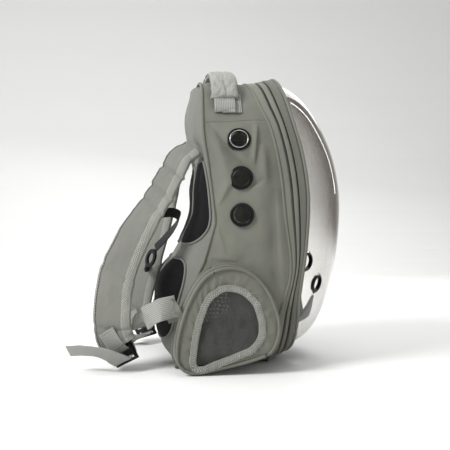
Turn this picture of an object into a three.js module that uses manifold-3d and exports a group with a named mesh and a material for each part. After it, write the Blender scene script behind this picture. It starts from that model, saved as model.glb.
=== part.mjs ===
// Soft pet carrier worn on the back, with a clear dome on its front face.
// Millimetres, standing on its base: +X points to the dome, +Z is up and -Y is the wearer's left.
import * as THREE from 'three'
import { mergeVertices } from 'three/addons/utils/BufferGeometryUtils.js'
import Module from 'manifold-3d'

const wasm = await Module()
wasm.setup()

// Driving sizes
const gap = 0.3 // clearance between neighbouring pieces
const clothWall = 2
const domeWall = 2
const stations = 40 // divisions round the body
const bodyPiping = 2.2
const domePiping = 1.8
const sideBulge = 6
const domeHeight = 83
const domeSetBack = 6 // how far the dome's edge sits behind the front piping
const domeInset = 4.5
const doorFace = 160 // distance of a door's face from the middle plane
const doorWall = 2
const doorPiping = 2.2
const strapWidth = 58
const strapThick = 12
const webbingWidth = 30
const webbingThick = 2

// Depth of each seam at a height, back to front
const backProfile = [
  { z: 0, x: -79 }, { z: 20, x: -79 }, { z: 54, x: -75 }, { z: 95, x: -64 }, { z: 128, x: -51 },
  { z: 148, x: -41 }, { z: 168, x: -33 }, { z: 195, x: -28 }, { z: 228, x: -31 }, { z: 275, x: -37 },
  { z: 322, x: -43 }, { z: 400, x: -42 },
]
const seamProfile = [
  { z: 0, x: 52 }, { z: 69, x: 58 }, { z: 85, x: 62 }, { z: 125, x: 72 }, { z: 154, x: 72 },
  { z: 207, x: 65 }, { z: 267, x: 59 }, { z: 326, x: 48 }, { z: 358, x: 36 }, { z: 392, x: 27 },
  { z: 403, x: 24 },
]
const rimProfile = [
  { z: 10, x: 80 }, { z: 33, x: 84 }, { z: 100, x: 85 }, { z: 166, x: 92 }, { z: 228, x: 95 },
  { z: 283, x: 89.5 }, { z: 341, x: 78 }, { z: 390, x: 70 }, { z: 412, x: 66 },
]
// Outer face of the padded back along its middle
const padProfile = [
  { z: 6, x: -80 }, { z: 25, x: -96 }, { z: 50, x: -100 }, { z: 86, x: -101 }, { z: 122, x: -99 },
  { z: 148, x: -85 }, { z: 173, x: -73 }, { z: 197, x: -61 }, { z: 215, x: -51 }, { z: 250, x: -50 },
  { z: 282, x: -45 }, { z: 303, x: -48 }, { z: 326, x: -56 }, { z: 359, x: -60 }, { z: 392, x: -52 },
]
const backShape = { halfWidth: 128, low: -8, high: 401, topPower: 3.2, lowPower: 7 }
const backRing = ring({ ...backShape, profile: backProfile })
const seamRing = ring({ halfWidth: 141, low: -6, high: 402, topPower: 2.6, lowPower: 3.2, profile: seamProfile })
const rimShape = { halfWidth: 148, low: 10, high: 411, topPower: 2.3, lowPower: 3 }
const rimRing = ring({ ...rimShape, profile: rimProfile })

// Station numbers where the wall is seamed, counted from the top middle down the left side
const topCorner = 5
const lowCorner = 16

// Side door outline and its mesh window, as seen from the side
const doorOutline = [
  { x: -77, z: 14 }, { x: -80, z: 30 }, { x: -76, z: 59 }, { x: -63, z: 97 }, { x: -44, z: 126 },
  { x: -20, z: 138 }, { x: 5, z: 136 }, { x: 28, z: 121 }, { x: 45, z: 94 }, { x: 53, z: 60 },
  { x: 44, z: 31 }, { x: 22, z: 20 }, { x: -20, z: 10 }, { x: -60, z: 4 },
]
const windowOutline = [
  { x: -57, z: 13 }, { x: -57, z: 34 }, { x: -49, z: 73 }, { x: -38, z: 98 }, { x: -19, z: 111 },
  { x: 4, z: 107 }, { x: 21, z: 91 }, { x: 29, z: 61 }, { x: 21, z: 38 }, { x: -2, z: 26 },
  { x: -28, z: 17 }, { x: -46, z: 10 },
]

// Round vents
const eyelet = { hole: 11, barrel: 12.2, flange: 16, outside: 1.6, inside: 1.4 }
const eyeletPlaces = [{ x: 4, z: 309 }, { x: 5.6, z: 257 }, { x: 7, z: 208 }]
const vent = { hole: 9.6, barrel: 10.6, flange: 12.6, outside: 1.4, inside: 1.4 }
const ventPlaces = [{ y: 131, z: 145 }, { y: 101, z: 113 }]

// Handle, from its middle out to one end
const handle = { x: -8, width: 38, thick: 11 }
const handleArch = [
  { y: 0, z: 414 }, { y: 36, z: 412.5 }, { y: 62, z: 406 }, { y: 84, z: 394 }, { y: 97.5, z: 380.5 },
  { y: 105.4, z: 368.6 },
]

// Shoulder strap of the near side: middle line and how far it is turned from lying across the back
const leftStrapLine = [
  { x: -53, y: -75, z: 304, turn: 0 }, { x: -72, y: -76, z: 292, turn: 8 },
  { x: -83, y: -79, z: 269, turn: 16 }, { x: -92, y: -82, z: 252, turn: 22 },
  { x: -103, y: -85, z: 232, turn: 30 }, { x: -116, y: -89, z: 212, turn: 38 },
  { x: -131, y: -94, z: 188, turn: 45 }, { x: -147, y: -99, z: 157, turn: 50 },
  { x: -159, y: -103, z: 125, turn: 54 }, { x: -164, y: -106, z: 92, turn: 56 },
  { x: -165, y: -108, z: 62, turn: 58 }, { x: -161, y: -109, z: 43, turn: 58 },
  { x: -155, y: -110, z: 32, turn: 58 },
]
const rightStrapLine = [
  { x: -53, y: 75, z: 303, turn: 0 }, { x: -67, y: 76, z: 284, turn: 8 },
  { x: -78, y: 80, z: 252, turn: 18 }, { x: -89, y: 85, z: 215, turn: 26 },
  { x: -100, y: 90, z: 180, turn: 34 }, { x: -111, y: 95, z: 148, turn: 40 },
  { x: -121, y: 99, z: 115, turn: 45 }, { x: -130, y: 102, z: 85, turn: 48 },
  { x: -134, y: 104, z: 60, turn: 50 }, { x: -131, y: 105, z: 43, turn: 50 },
  { x: -126, y: 106, z: 33, turn: 50 },
]

// Triangular tab in the seam of the back, and the webbing that is sewn on it: its stretch down to
// the ladder lock and its loose tail, of the left side and of the right side
const tabLine = [{ x: -79, y: 131.8, z: 74 }, { x: -93, y: 133, z: 94 }]
const tabWidth = 20
const webbingLines = {
  left: {
    fromTab: [
      { x: -80, y: -136.6, z: 88 }, { x: -102, y: -138, z: 83 }, { x: -119, y: -124, z: 72 },
      { x: -129, y: -99, z: 57 },
    ],
    tail: [
      { x: -160, y: -132, z: 11.5 }, { x: -181, y: -128, z: 13 }, { x: -201, y: -116, z: 18 },
      { x: -222, y: -105, z: 17 },
    ],
  },
  right: {
    fromTab: [{ x: -80, y: 136.6, z: 88 }, { x: -99, y: 136.6, z: 78 }, { x: -107, y: 126, z: 62 }],
    tail: [{ x: -132, y: 89.5, z: 10.5 }, { x: -148, y: 88, z: 11.5 }, { x: -166, y: 91, z: 13 }],
  },
}
// The webbing's way past the strap's end and through the lower slot of its ladder lock: how far
// down from the lock's middle and how far behind its plane
const lockRoute = [
  { down: -26, behind: 19 }, { down: -8, behind: 11 }, { down: 3.5, behind: 7 }, { down: 5.5, behind: 3.2 },
  { down: 5.5, behind: -3.2 }, { down: 5.8, behind: -7 }, { down: 6, behind: -12 },
]
// Chest strap: from the inner face of the near shoulder strap to its buckle, and on to the outer
// face of the far one. Each seat is a place on a strap: how many stations down, and how far across.
const chestSeats = {
  left: [{ down: 5, across: 4 }, { down: 5, across: -5 }],
  right: [{ down: 5.6, across: 14 }, { down: 5.6, across: 5 }],
}
const chestLine = [
  { x: -107, y: -68, z: 210.5 }, { x: -95, y: -61, z: 211.5 }, { x: -80, y: -42, z: 212 },
  { x: -70, y: -14, z: 206 }, { x: -76, y: 12, z: 191 }, { x: -91, y: 32, z: 172 },
  { x: -103.9, y: 44.8, z: 158 },
]
const chestBuckle = { x: -111, y: 52, z: 142, long: 17, wide: 11, thick: 3.5, hole: 0.6 }
const chestEndLine = [{ x: -118.3, y: 63.8, z: 126.6 }, { x: -118, y: 72, z: 125.5 }]
const chestWidth = 14
const chestLift = 1 // extra, where the chest strap bends up off the near strap

// Mat: its underside in the middle plane and its half width there
const matProfile = [
  { x: -66, z: 3.2, half: 62 }, { x: 20, z: 3.2, half: 56 }, { x: 48, z: 4.5, half: 52 },
  { x: 66, z: 13, half: 58 }, { x: 77, z: 25, half: 60 }, { x: 88, z: 41, half: 66 },
  { x: 94.5, z: 58, half: 70 }, { x: 95, z: 74, half: 54 },
]
const matThick = 4

const colours = {
  cloth: { color: 0x83847a, roughness: 0.85 },
  padCloth: { color: 0x8f9088, roughness: 0.85 },
  piping: { color: 0x8b8c82, roughness: 0.7 },
  mesh: { color: 0x303234, roughness: 0.9 },
  window: { color: 0x74766f, roughness: 0.8 },
  webbing: { color: 0xa5a7a4, roughness: 0.75 },
  hard: { color: 0x16181a, roughness: 0.35 },
  clear: { color: 0xb9b8ae, roughness: 0.05, transparent: true, opacity: 0.35 },
}

// Smooth value of x in a table with rising z
function along(table, z) {
  const last = table.length - 1
  const held = Math.min(Math.max(z, table[0].z), table[last].z)
  let i = 0
  while (i < last - 1 && held > table[i + 1].z) i++
  const slope = k => {
    const a = table[Math.max(k - 1, 0)]
    const b = table[Math.min(k + 1, last)]
    return (b.x - a.x) / (b.z - a.z)
  }
  const span = table[i + 1].z - table[i].z
  const t = (held - table[i].z) / span
  const fromStart = (1 + 2 * t) * (1 - t) ** 2 * table[i].x + t * (1 - t) ** 2 * span * slope(i)
  const fromEnd = t * t * (3 - 2 * t) * table[i + 1].x + t * t * (t - 1) * span * slope(i + 1)
  return fromStart + fromEnd
}

// Closed outline of the body at one seam. The result gives the point at a fraction of its length.
function ring({ halfWidth, low, high, topPower, lowPower, profile }) {
  const samples = 720
  const middle = (low + high) / 2
  const halfHeight = (high - low) / 2
  const points = []
  const reached = [0]
  for (let i = 0; i <= samples; i++) {
    const angle = 2 * Math.PI * i / samples
    const across = Math.sin(angle)
    const up = Math.cos(angle)
    const power = 2 / (up > 0 ? topPower : lowPower)
    const y = -halfWidth * Math.sign(across) * Math.abs(across) ** power
    const z = Math.max(0, middle + halfHeight * Math.sign(up) * Math.abs(up) ** power)
    points.push(new THREE.Vector3(along(profile, z), y, z))
    if (i > 0) reached.push(reached[i - 1] + Math.hypot(y - points[i - 1].y, z - points[i - 1].z))
  }
  return fraction => {
    const wanted = (fraction - Math.floor(fraction)) * reached[samples]
    let i = 0
    while (i < samples - 1 && reached[i + 1] < wanted) i++
    const t = (wanted - reached[i]) / (reached[i + 1] - reached[i])
    return points[i].clone().lerp(points[i + 1], t)
  }
}

// Cloth between two seams, kept clear of the piping that runs in each seam
function wall(ringA, ringB, clearA, clearB, bulge) {
  return (fraction, across) => {
    const a = ringA(fraction)
    const b = ringB(fraction)
    const length = a.distanceTo(b)
    const v = (clearA + across * (length - clearA - clearB)) / length
    const p = a.lerp(b, v)
    const sideways = (Math.abs(p.y) / 130) ** 4 * Math.min(1, p.z / 80)
    p.y += Math.sign(p.y) * bulge * sideways * 4 * v * (1 - v)
    return p
  }
}

// Height of the dome's outer face above the middle plane, for a place seen from the front
function domeFace(y, z) {
  const middle = (rimShape.low + rimShape.high) / 2
  const halfHeight = (rimShape.high - rimShape.low) / 2 - domeInset
  const up = Math.min(1, Math.abs(z - middle) / halfHeight)
  const power = z > middle ? rimShape.topPower : rimShape.lowPower
  const width = (rimShape.halfWidth - domeInset) * Math.max(1e-6, 1 - up ** power) ** (1 / power)
  const side = Math.min(1, Math.abs(y) / width)
  return along(rimProfile, z) - domeSetBack + domeHeight * Math.sqrt(1 - up ** 3.1) * (1 - side ** 2.1)
}

// Half width of the back at a height, a margin in from its outline
function backHalf(z, margin) {
  const middle = (backShape.low + backShape.high) / 2
  const up = (Math.abs(z - middle) + margin) / ((backShape.high - backShape.low) / 2)
  const power = z > middle ? backShape.topPower : backShape.lowPower
  return backShape.halfWidth * Math.max(0, 1 - up ** power) ** (1 / power) - margin
}

// Outer face of the padded back
function padFace(y, z) {
  const depth = along(backProfile, z) - along(padProfile, z)
  return along(backProfile, z) - depth * (1 - Math.min(1, Math.abs(y) / backHalf(z, 4)) ** 4)
}

// Geometry from points and triangles: shared points merged, faces pointing out
function solid(points, index) {
  let geometry = new THREE.BufferGeometry()
  geometry.setAttribute('position', new THREE.Float32BufferAttribute(points.flatMap(p => [p.x, p.y, p.z]), 3))
  geometry.setIndex(index)
  geometry = mergeVertices(geometry, 1e-4)
  const merged = geometry.index.array
  const at = geometry.attributes.position
  const kept = []
  let volume = 0
  for (let i = 0; i < merged.length; i += 3) {
    const [a, b, c] = [merged[i], merged[i + 1], merged[i + 2]]
    if (a === b || b === c || c === a) continue
    kept.push(a, b, c)
    const [p, q, r] = [a, b, c].map(k => new THREE.Vector3().fromBufferAttribute(at, k))
    volume += p.dot(q.cross(r))
  }
  if (volume < 0) kept.reverse()
  geometry.setIndex(kept)
  return geometry
}

// Sheet with thickness between two grids of points, open or joined round
function slab(outer, inner, closed = false) {
  const rows = outer.length
  const columns = outer[0].length
  const at = (side, i, j) => side * rows * columns + (i % rows) * columns + j
  const index = []
  const quad = (a, b, c, d) => index.push(a, b, c, a, c, d)
  const lastRow = closed ? rows : rows - 1
  const lastColumn = columns - 1
  for (let i = 0; i < lastRow; i++) {
    for (let j = 0; j < lastColumn; j++) {
      quad(at(0, i, j), at(0, i + 1, j), at(0, i + 1, j + 1), at(0, i, j + 1))
      quad(at(1, i, j), at(1, i, j + 1), at(1, i + 1, j + 1), at(1, i + 1, j))
    }
    quad(at(0, i, 0), at(1, i, 0), at(1, i + 1, 0), at(0, i + 1, 0))
    quad(at(0, i, lastColumn), at(0, i + 1, lastColumn), at(1, i + 1, lastColumn), at(1, i, lastColumn))
  }
  for (let j = 0; j < lastColumn && !closed; j++) {
    quad(at(0, 0, j), at(0, 0, j + 1), at(1, 0, j + 1), at(1, 0, j))
    quad(at(0, lastRow, j), at(1, lastRow, j), at(1, lastRow, j + 1), at(0, lastRow, j + 1))
  }
  return solid([...outer.flat(), ...inner.flat()], index)
}

// Tube through sections of equal length, joined round or capped at both ends
function tube(sections, looped = false) {
  const sides = sections[0].length
  const points = sections.flat()
  const index = []
  const last = looped ? sections.length : sections.length - 1
  for (let i = 0; i < last; i++) {
    const a = i * sides
    const b = ((i + 1) % sections.length) * sides
    for (let j = 0; j < sides; j++) {
      const k = (j + 1) % sides
      index.push(a + j, b + j, b + k, a + j, b + k, a + k)
    }
  }
  for (const end of looped ? [] : [0, last]) {
    const centre = new THREE.Vector3()
    sections[end].forEach(p => centre.addScaledVector(p, 1 / sides))
    const middle = points.push(centre) - 1
    for (let j = 0; j < sides; j++) {
      const a = end * sides + j
      const b = end * sides + (j + 1) % sides
      index.push(middle, end ? b : a, end ? a : b)
    }
  }
  return solid(points, index)
}

// Normal of a surface of two numbers, pointing away from the body's core
function normalAt(surface, u, v) {
  const step = 1e-3
  const du = surface(u + step, v).sub(surface(u - step, v))
  const dv = surface(u, v + step).sub(surface(u, v - step))
  const normal = du.cross(dv).normalize()
  const out = surface(u, v).sub(new THREE.Vector3(0, 0, 200))
  return normal.dot(out) < 0 ? normal.negate() : normal
}

// Wall piece of a surface, with its thickness on the inside and an extra lift on the outside
function shell(surface, around, across, thickness, closed = false, lift = 0) {
  const grid = depth => around.map(f => across.map(u => {
    const normal = normalAt(surface, f, Math.min(Math.max(u, 0.002), 0.998))
    return surface(f, u).addScaledVector(normal, -depth)
  }))
  return slab(grid(-lift), grid(thickness), closed)
}

function steps(from, to, count) {
  return Array.from({ length: count + 1 }, (_, i) => from + (to - from) * i / count)
}

// Wall from one station to another, short of both by a small gap
function wallStations(from, to) {
  const trim = 0.02
  const inner = steps(from, to, to - from).map(k => k / stations)
  inner[0] += trim / stations
  inner[inner.length - 1] -= trim / stations
  return inner
}

const allStations = Array.from({ length: stations }, (_, k) => k / stations)

// Round cord along a closed line, its section square to the line
function cord(line, radius, sides = 5) {
  const sections = line.map((p, i) => {
    const before = line[(i + line.length - 1) % line.length]
    const after = line[(i + 1) % line.length]
    const ahead = after.clone().sub(before).normalize()
    const first = new THREE.Vector3(1, 0, 0).addScaledVector(ahead, -ahead.x)
    if (Math.abs(ahead.x) > 0.9) first.set(0, 0, 1)
    first.normalize()
    const second = ahead.clone().cross(first)
    return Array.from({ length: sides }, (_, j) => {
      const angle = 2 * Math.PI * j / sides
      return p.clone().addScaledVector(first, radius * Math.cos(angle)).addScaledVector(second, radius * Math.sin(angle))
    })
  })
  return tube(sections, true)
}

// Flat band with softened edges along a line of { point, across, face }
function band(line, width, thick) {
  const edge = Math.min(thick / 2, 3)
  const section = [
    [-0.5, 0], [-0.5 + edge / width, 0.5], [0, 0.5], [0.5 - edge / width, 0.5],
    [0.5, 0], [0.5 - edge / width, -0.5], [0, -0.5], [-0.5 + edge / width, -0.5],
  ]
  return tube(line.map(({ point, across, face }) => section.map(([a, b]) =>
    point.clone().addScaledVector(across, a * width).addScaledVector(face, b * thick))))
}

// Stations of a shoulder strap: the width turns from the Y axis towards the strap's side view
function strapStations(table) {
  const points = table.map(({ x, y, z }) => new THREE.Vector3(x, y, z))
  return table.map(({ turn }, i) => {
    const ahead = points[Math.min(i + 1, points.length - 1)].clone().sub(points[Math.max(i - 1, 0)]).normalize()
    const inPlane = new THREE.Vector3(-ahead.z, 0, ahead.x).normalize()
    if (inPlane.x < 0) inPlane.negate()
    const angle = THREE.MathUtils.degToRad(turn)
    const across = inPlane.multiplyScalar(Math.sin(angle))
    across.y = -Math.cos(angle)
    across.addScaledVector(ahead, -across.dot(ahead)).normalize()
    return { point: points[i], across, face: ahead.cross(across).normalize() }
  })
}

function toManifold(geometry) {
  const vertProperties = new Float32Array(geometry.attributes.position.array)
  return new wasm.Manifold(new wasm.Mesh({ numProp: 3, vertProperties, triVerts: new Uint32Array(geometry.index.array) }))
}

function toGeometry(manifold) {
  const mesh = manifold.getMesh()
  const geometry = new THREE.BufferGeometry()
  geometry.setAttribute('position', new THREE.BufferAttribute(mesh.vertProperties, 3))
  geometry.setIndex(new THREE.BufferAttribute(mesh.triVerts, 1))
  return geometry
}

function cut(geometry, cutters) {
  let result = toManifold(geometry)
  for (const cutter of cutters) result = result.subtract(toManifold(cutter))
  return toGeometry(result)
}

function plain(geometry) {
  geometry.deleteAttribute('normal')
  geometry.deleteAttribute('uv')
  return mergeVertices(geometry, 1e-4)
}

function turnTo(geometry, direction, place) {
  const turn = new THREE.Quaternion().setFromUnitVectors(new THREE.Vector3(0, 1, 0), direction)
  return geometry.applyQuaternion(turn).translate(place.x, place.y, place.z)
}

// Grommet through a wall: a flange on each face joined by a barrel
function grommet({ hole, barrel, flange, outside, inside }, wallThick, sag) {
  const low = -wallThick - gap - sag
  const high = gap + sag / 3
  const profile = [
    [hole, low - inside], [flange, low - inside], [flange, low], [barrel, low], [barrel, high],
    [flange, high], [flange - 1, high + outside], [hole, high + outside], [hole, low - inside],
  ]
  return plain(new THREE.LatheGeometry(profile.map(([r, h]) => new THREE.Vector2(r, h)), 14))
}

function roundCutter(radius) {
  return plain(new THREE.CylinderGeometry(radius, radius, 40, 16))
}

// Points of a smooth closed outline in the side view
function smoothOutline(table, count) {
  const line = new THREE.CatmullRomCurve3(table.map(({ x, z }) => new THREE.Vector3(x, 0, z)), true)
  return line.getSpacedPoints(count).slice(0, count)
}

// Outline moved inwards by a distance
function shrink(outline, distance) {
  return outline.map((p, i) => {
    const before = outline[(i + outline.length - 1) % outline.length]
    const after = outline[(i + 1) % outline.length]
    const ahead = after.clone().sub(before).normalize()
    return new THREE.Vector3(p.x + ahead.z * distance, 0, p.z - ahead.x * distance)
  })
}

// Plate with a side view outline and an optional window, between two distances from the middle plane
function sidePlate(outline, window, near, far, side) {
  const shape = new THREE.Shape([...outline].reverse().map(p => new THREE.Vector2(p.x, p.z)))
  if (window) shape.holes.push(new THREE.Path(window.map(p => new THREE.Vector2(p.x, p.z))))
  const plate = new THREE.ExtrudeGeometry(shape, { depth: far - near, bevelEnabled: false })
  plate.rotateX(Math.PI / 2)
  plate.translate(0, side < 0 ? -near : far, 0)
  return plain(plate)
}

const group = new THREE.Group()

function add(name, geometry, look) {
  const material = new THREE.MeshStandardMaterial({ metalness: 0, ...colours[look] })
  const mesh = new THREE.Mesh(geometry, material)
  mesh.name = name
  group.add(mesh)
}

const pipeClear = bodyPiping + 2 * gap
const rimClear = domePiping + 2 * gap
const sideWall = wall(backRing, seamRing, pipeClear, pipeClear, sideBulge)
const frontWall = wall(seamRing, rimRing, pipeClear + 1.8, rimClear + 1, 0)
const acrossSide = steps(0, 1, 3)

// Place and direction on the side wall of one side, found from its side view place
function onSideWall(x, z, side) {
  let fraction = side < 0 ? 0.25 : 0.75
  let across = 0.5
  for (let i = 0; i < 60; i++) {
    const p = sideWall(fraction, across)
    across = Math.min(1, Math.max(0, across + (x - p.x) / 120))
    fraction += (z - p.z) / 1200 * side
  }
  return { place: sideWall(fraction, across), direction: normalAt(sideWall, fraction, across) }
}

// Whole body as one solid, slightly larger than it is, to trim the door gussets to it
function bodyCore() {
  const surface = wall(backRing, seamRing, 0, 0, sideBulge)
  const proud = bodyPiping + 2 * gap
  const rows = [
    { shift: -60, across: 0, lift: proud }, { shift: 0, across: 0, lift: proud },
    { shift: 0, across: 0.05, lift: proud }, { shift: 0, across: 0.08, lift: 4 * gap },
    { shift: 0, across: 1 / 3, lift: 4 * gap }, { shift: 0, across: 2 / 3, lift: 2 * gap },
    { shift: 0, across: 0.94, lift: 2 * gap }, { shift: 0, across: 0.97, lift: proud },
    { shift: 60, across: 1, lift: proud },
  ]
  return tube(rows.map(({ shift, across, lift }) => allStations.map(f => {
    const p = surface(f, across)
    const normal = normalAt(surface, f, Math.min(Math.max(across, 0.01), 0.99))
    normal.x = 0
    return p.addScaledVector(normal.normalize(), lift).setX(p.x + shift)
  })))
}

function addSide(side) {
  const label = side < 0 ? 'left' : 'right'
  const around = side < 0 ? wallStations(topCorner, lowCorner) : wallStations(stations - lowCorner, stations - topCorner)
  const outline = smoothOutline(doorOutline, 30)
  const window = smoothOutline(windowOutline, 24)
  const vents = eyeletPlaces.map(({ x, z }) => onSideWall(x, z, side))
  const doorway = sidePlate(shrink(outline, 14), null, 60, 200, side)
  const holes = vents.map(v => turnTo(roundCutter(eyelet.barrel + gap), v.direction, v.place))
  add(`side_panel_${label}`, cut(shell(sideWall, around, acrossSide, clothWall), [...holes, doorway]), 'cloth')
  vents.forEach((v, i) => {
    add(`side_eyelet_${label}_${i + 1}`, turnTo(grommet(eyelet, clothWall, 1.8), v.direction, v.place), 'hard')
  })

  const gusset = toManifold(sidePlate(outline, shrink(outline, doorWall), 82, doorFace - doorPiping - 2 * gap, side))
  const parts = gusset.subtract(toManifold(bodyCore())).decompose().sort((a, b) => b.volume() - a.volume())
  add(`door_gusset_${label}`, toGeometry(parts[0]), 'cloth')
  const faceOutline = shrink(outline, doorPiping + gap)
  add(`door_panel_${label}`, sidePlate(faceOutline, window, doorFace - doorWall, doorFace, side), 'cloth')
  add(`door_mesh_${label}`, sidePlate(shrink(window, gap), null, doorFace - doorWall, doorFace - 0.5, side), 'window')
  const pipe = outline.map(p => new THREE.Vector3(p.x, side * (doorFace - 0.1), p.z))
  add(`door_piping_${label}`, cord(pipe, doorPiping, 6), 'piping')
}

function addBody() {
  add('top_panel', shell(sideWall, wallStations(-topCorner, topCorner), acrossSide, clothWall), 'cloth')
  add('bottom_panel', shell(sideWall, wallStations(lowCorner, stations - lowCorner), acrossSide, clothWall), 'cloth')
  addSide(-1)
  addSide(1)
  add('back_piping', cord(allStations.map(backRing).map(p => p.setZ(Math.max(p.z, bodyPiping))), bodyPiping), 'piping')
  add('body_front_piping', cord(allStations.map(seamRing).map(p => p.setZ(Math.max(p.z, bodyPiping))), bodyPiping), 'piping')
  add('dome_piping', cord(allStations.map(rimRing), domePiping), 'piping')
  add('zipper_band', shell(frontWall, allStations, [0, 0.49], clothWall, true), 'cloth')
  add('dome_frame', shell(frontWall, allStations, [0.51, 1], clothWall, true), 'cloth')
}

function addDome() {
  const rows = steps(3, 90, 7).map(THREE.MathUtils.degToRad)
  const middle = (rimShape.low + rimShape.high) / 2
  const grid = depth => allStations.filter((f, i) => i % 4 !== 2).map(f => rows.map(a => {
    const p = rimRing(f)
    const length = Math.hypot(p.y, p.z - middle)
    const s = (1 - (domeInset + 0.2) / length) * Math.cos(a) ** 0.645
    const at = (y, z) => new THREE.Vector3(domeFace(y, z), y, z)
    const [y, z] = [p.y * s, middle + (p.z - middle) * s]
    const dy = at(y + 0.5, z).sub(at(y - 0.5, z))
    const dz = at(y, z + 0.5).sub(at(y, z - 0.5))
    return at(y, z).addScaledVector(dy.cross(dz).normalize(), -depth)
  }))
  const places = ventPlaces.flatMap(({ y, z }) => [-1, 1].map(side => {
    const at = (u, v) => new THREE.Vector3(domeFace(u, v), u, v)
    const direction = at(side * y + 1, z).sub(at(side * y - 1, z)).cross(at(side * y, z + 1).sub(at(side * y, z - 1)))
    return { place: at(side * y, z), direction: direction.normalize() }
  }))
  const holes = places.map(v => turnTo(roundCutter(vent.barrel + gap), v.direction, v.place))
  add('dome', cut(slab(grid(0), grid(domeWall), true), holes), 'clear')
  places.forEach((v, i) => {
    add(`dome_vent_ring_${i + 1}`, turnTo(grommet(vent, domeWall, 1.8), v.direction, v.place), 'hard')
  })
}

// Pad lying on a face given by x over y and z; its width may follow the height
function pad(inner, outer, heights, sides) {
  const grid = face => heights.map(z => sides(z).map(y => new THREE.Vector3(face(y, z), y, z)))
  return slab(grid(inner), grid(outer))
}

function addBack() {
  const heights = [8, 25, 50, 74, 98, 122, 135, 148, 160, 173, 197, 215, 248, 282, 303, 326, 359, 388]
  const across = [-1, -0.9, -0.72, -0.4, 0, 0.4, 0.72, 0.9, 1]
  const whole = z => across.map(share => share * backHalf(z, pipeClear + 4.6))
  const panelFace = depth => (y, z) => along(backProfile, z) + depth
  const panel = pad(panelFace(0), panelFace(clothWall), [5.8, ...heights, 395], whole)
  add('back_panel', panel, 'cloth')
  const sides = z => across.map(share => share * Math.min(106, backHalf(z, 6)))
  const behind = (y, z) => along(backProfile, z) - 4 * gap
  add('back_pad', pad(behind, (y, z) => Math.min(padFace(y, z), behind(y, z) - 2), heights, sides), 'padCloth')
  for (const side of [-1, 1]) {
    const label = side < 0 ? 'left' : 'right'
    const columns = () => steps(14, 94, 4).map(y => side * y)
    const proud = (low, high, rise) => (y, z) => {
      const v = (z - low) / (high - low)
      const u = (Math.abs(y) - 14) / 80
      return padFace(y, z) - 6 * gap - 1.5 - rise * Math.sqrt(Math.max(0, 16 * v * (1 - v) * u * (1 - u)))
    }
    const under = (y, z) => padFace(y, z) - 5 * gap
    add(`back_mesh_upper_${label}`, pad(under, proud(168, 282, 3), steps(168, 282, 6), columns), 'mesh')
    add(`lumbar_mesh_${label}`, pad(under, proud(44, 146, 4), steps(44, 146, 6), columns), 'mesh')
  }
}

function addHandle() {
  const arch = [...handleArch.slice(1).reverse().map(({ y, z }) => ({ y: -y, z })), ...handleArch]
  const points = arch.map(({ y, z }) => new THREE.Vector3(handle.x, y, z))
  const across = new THREE.Vector3(1, 0, 0)
  const line = points.map((point, i) => {
    const ahead = points[Math.min(i + 1, points.length - 1)].clone().sub(points[Math.max(i - 1, 0)]).normalize()
    return { point, across, face: across.clone().cross(ahead) }
  })
  add('handle_grip', band(line, handle.width, handle.thick), 'padCloth')
  for (const side of [-1, 1]) {
    const tail = [{ y: 107.6, z: 364 }, { y: 110.4, z: 358.6 }, { y: 114.6, z: 350.8 }, { y: 117.6, z: 344 }]
    const places = tail.map(({ y, z }) => new THREE.Vector3(handle.x + 8, side * y, z))
    const outwards = new THREE.Vector3(0, side * 0.86, 0.5).normalize()
    const webbing = places.map(point => ({ point, across, face: outwards }))
    add(`handle_webbing_${side < 0 ? 'left' : 'right'}`, band(webbing, webbingWidth, webbingThick), 'webbing')
  }
}

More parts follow.
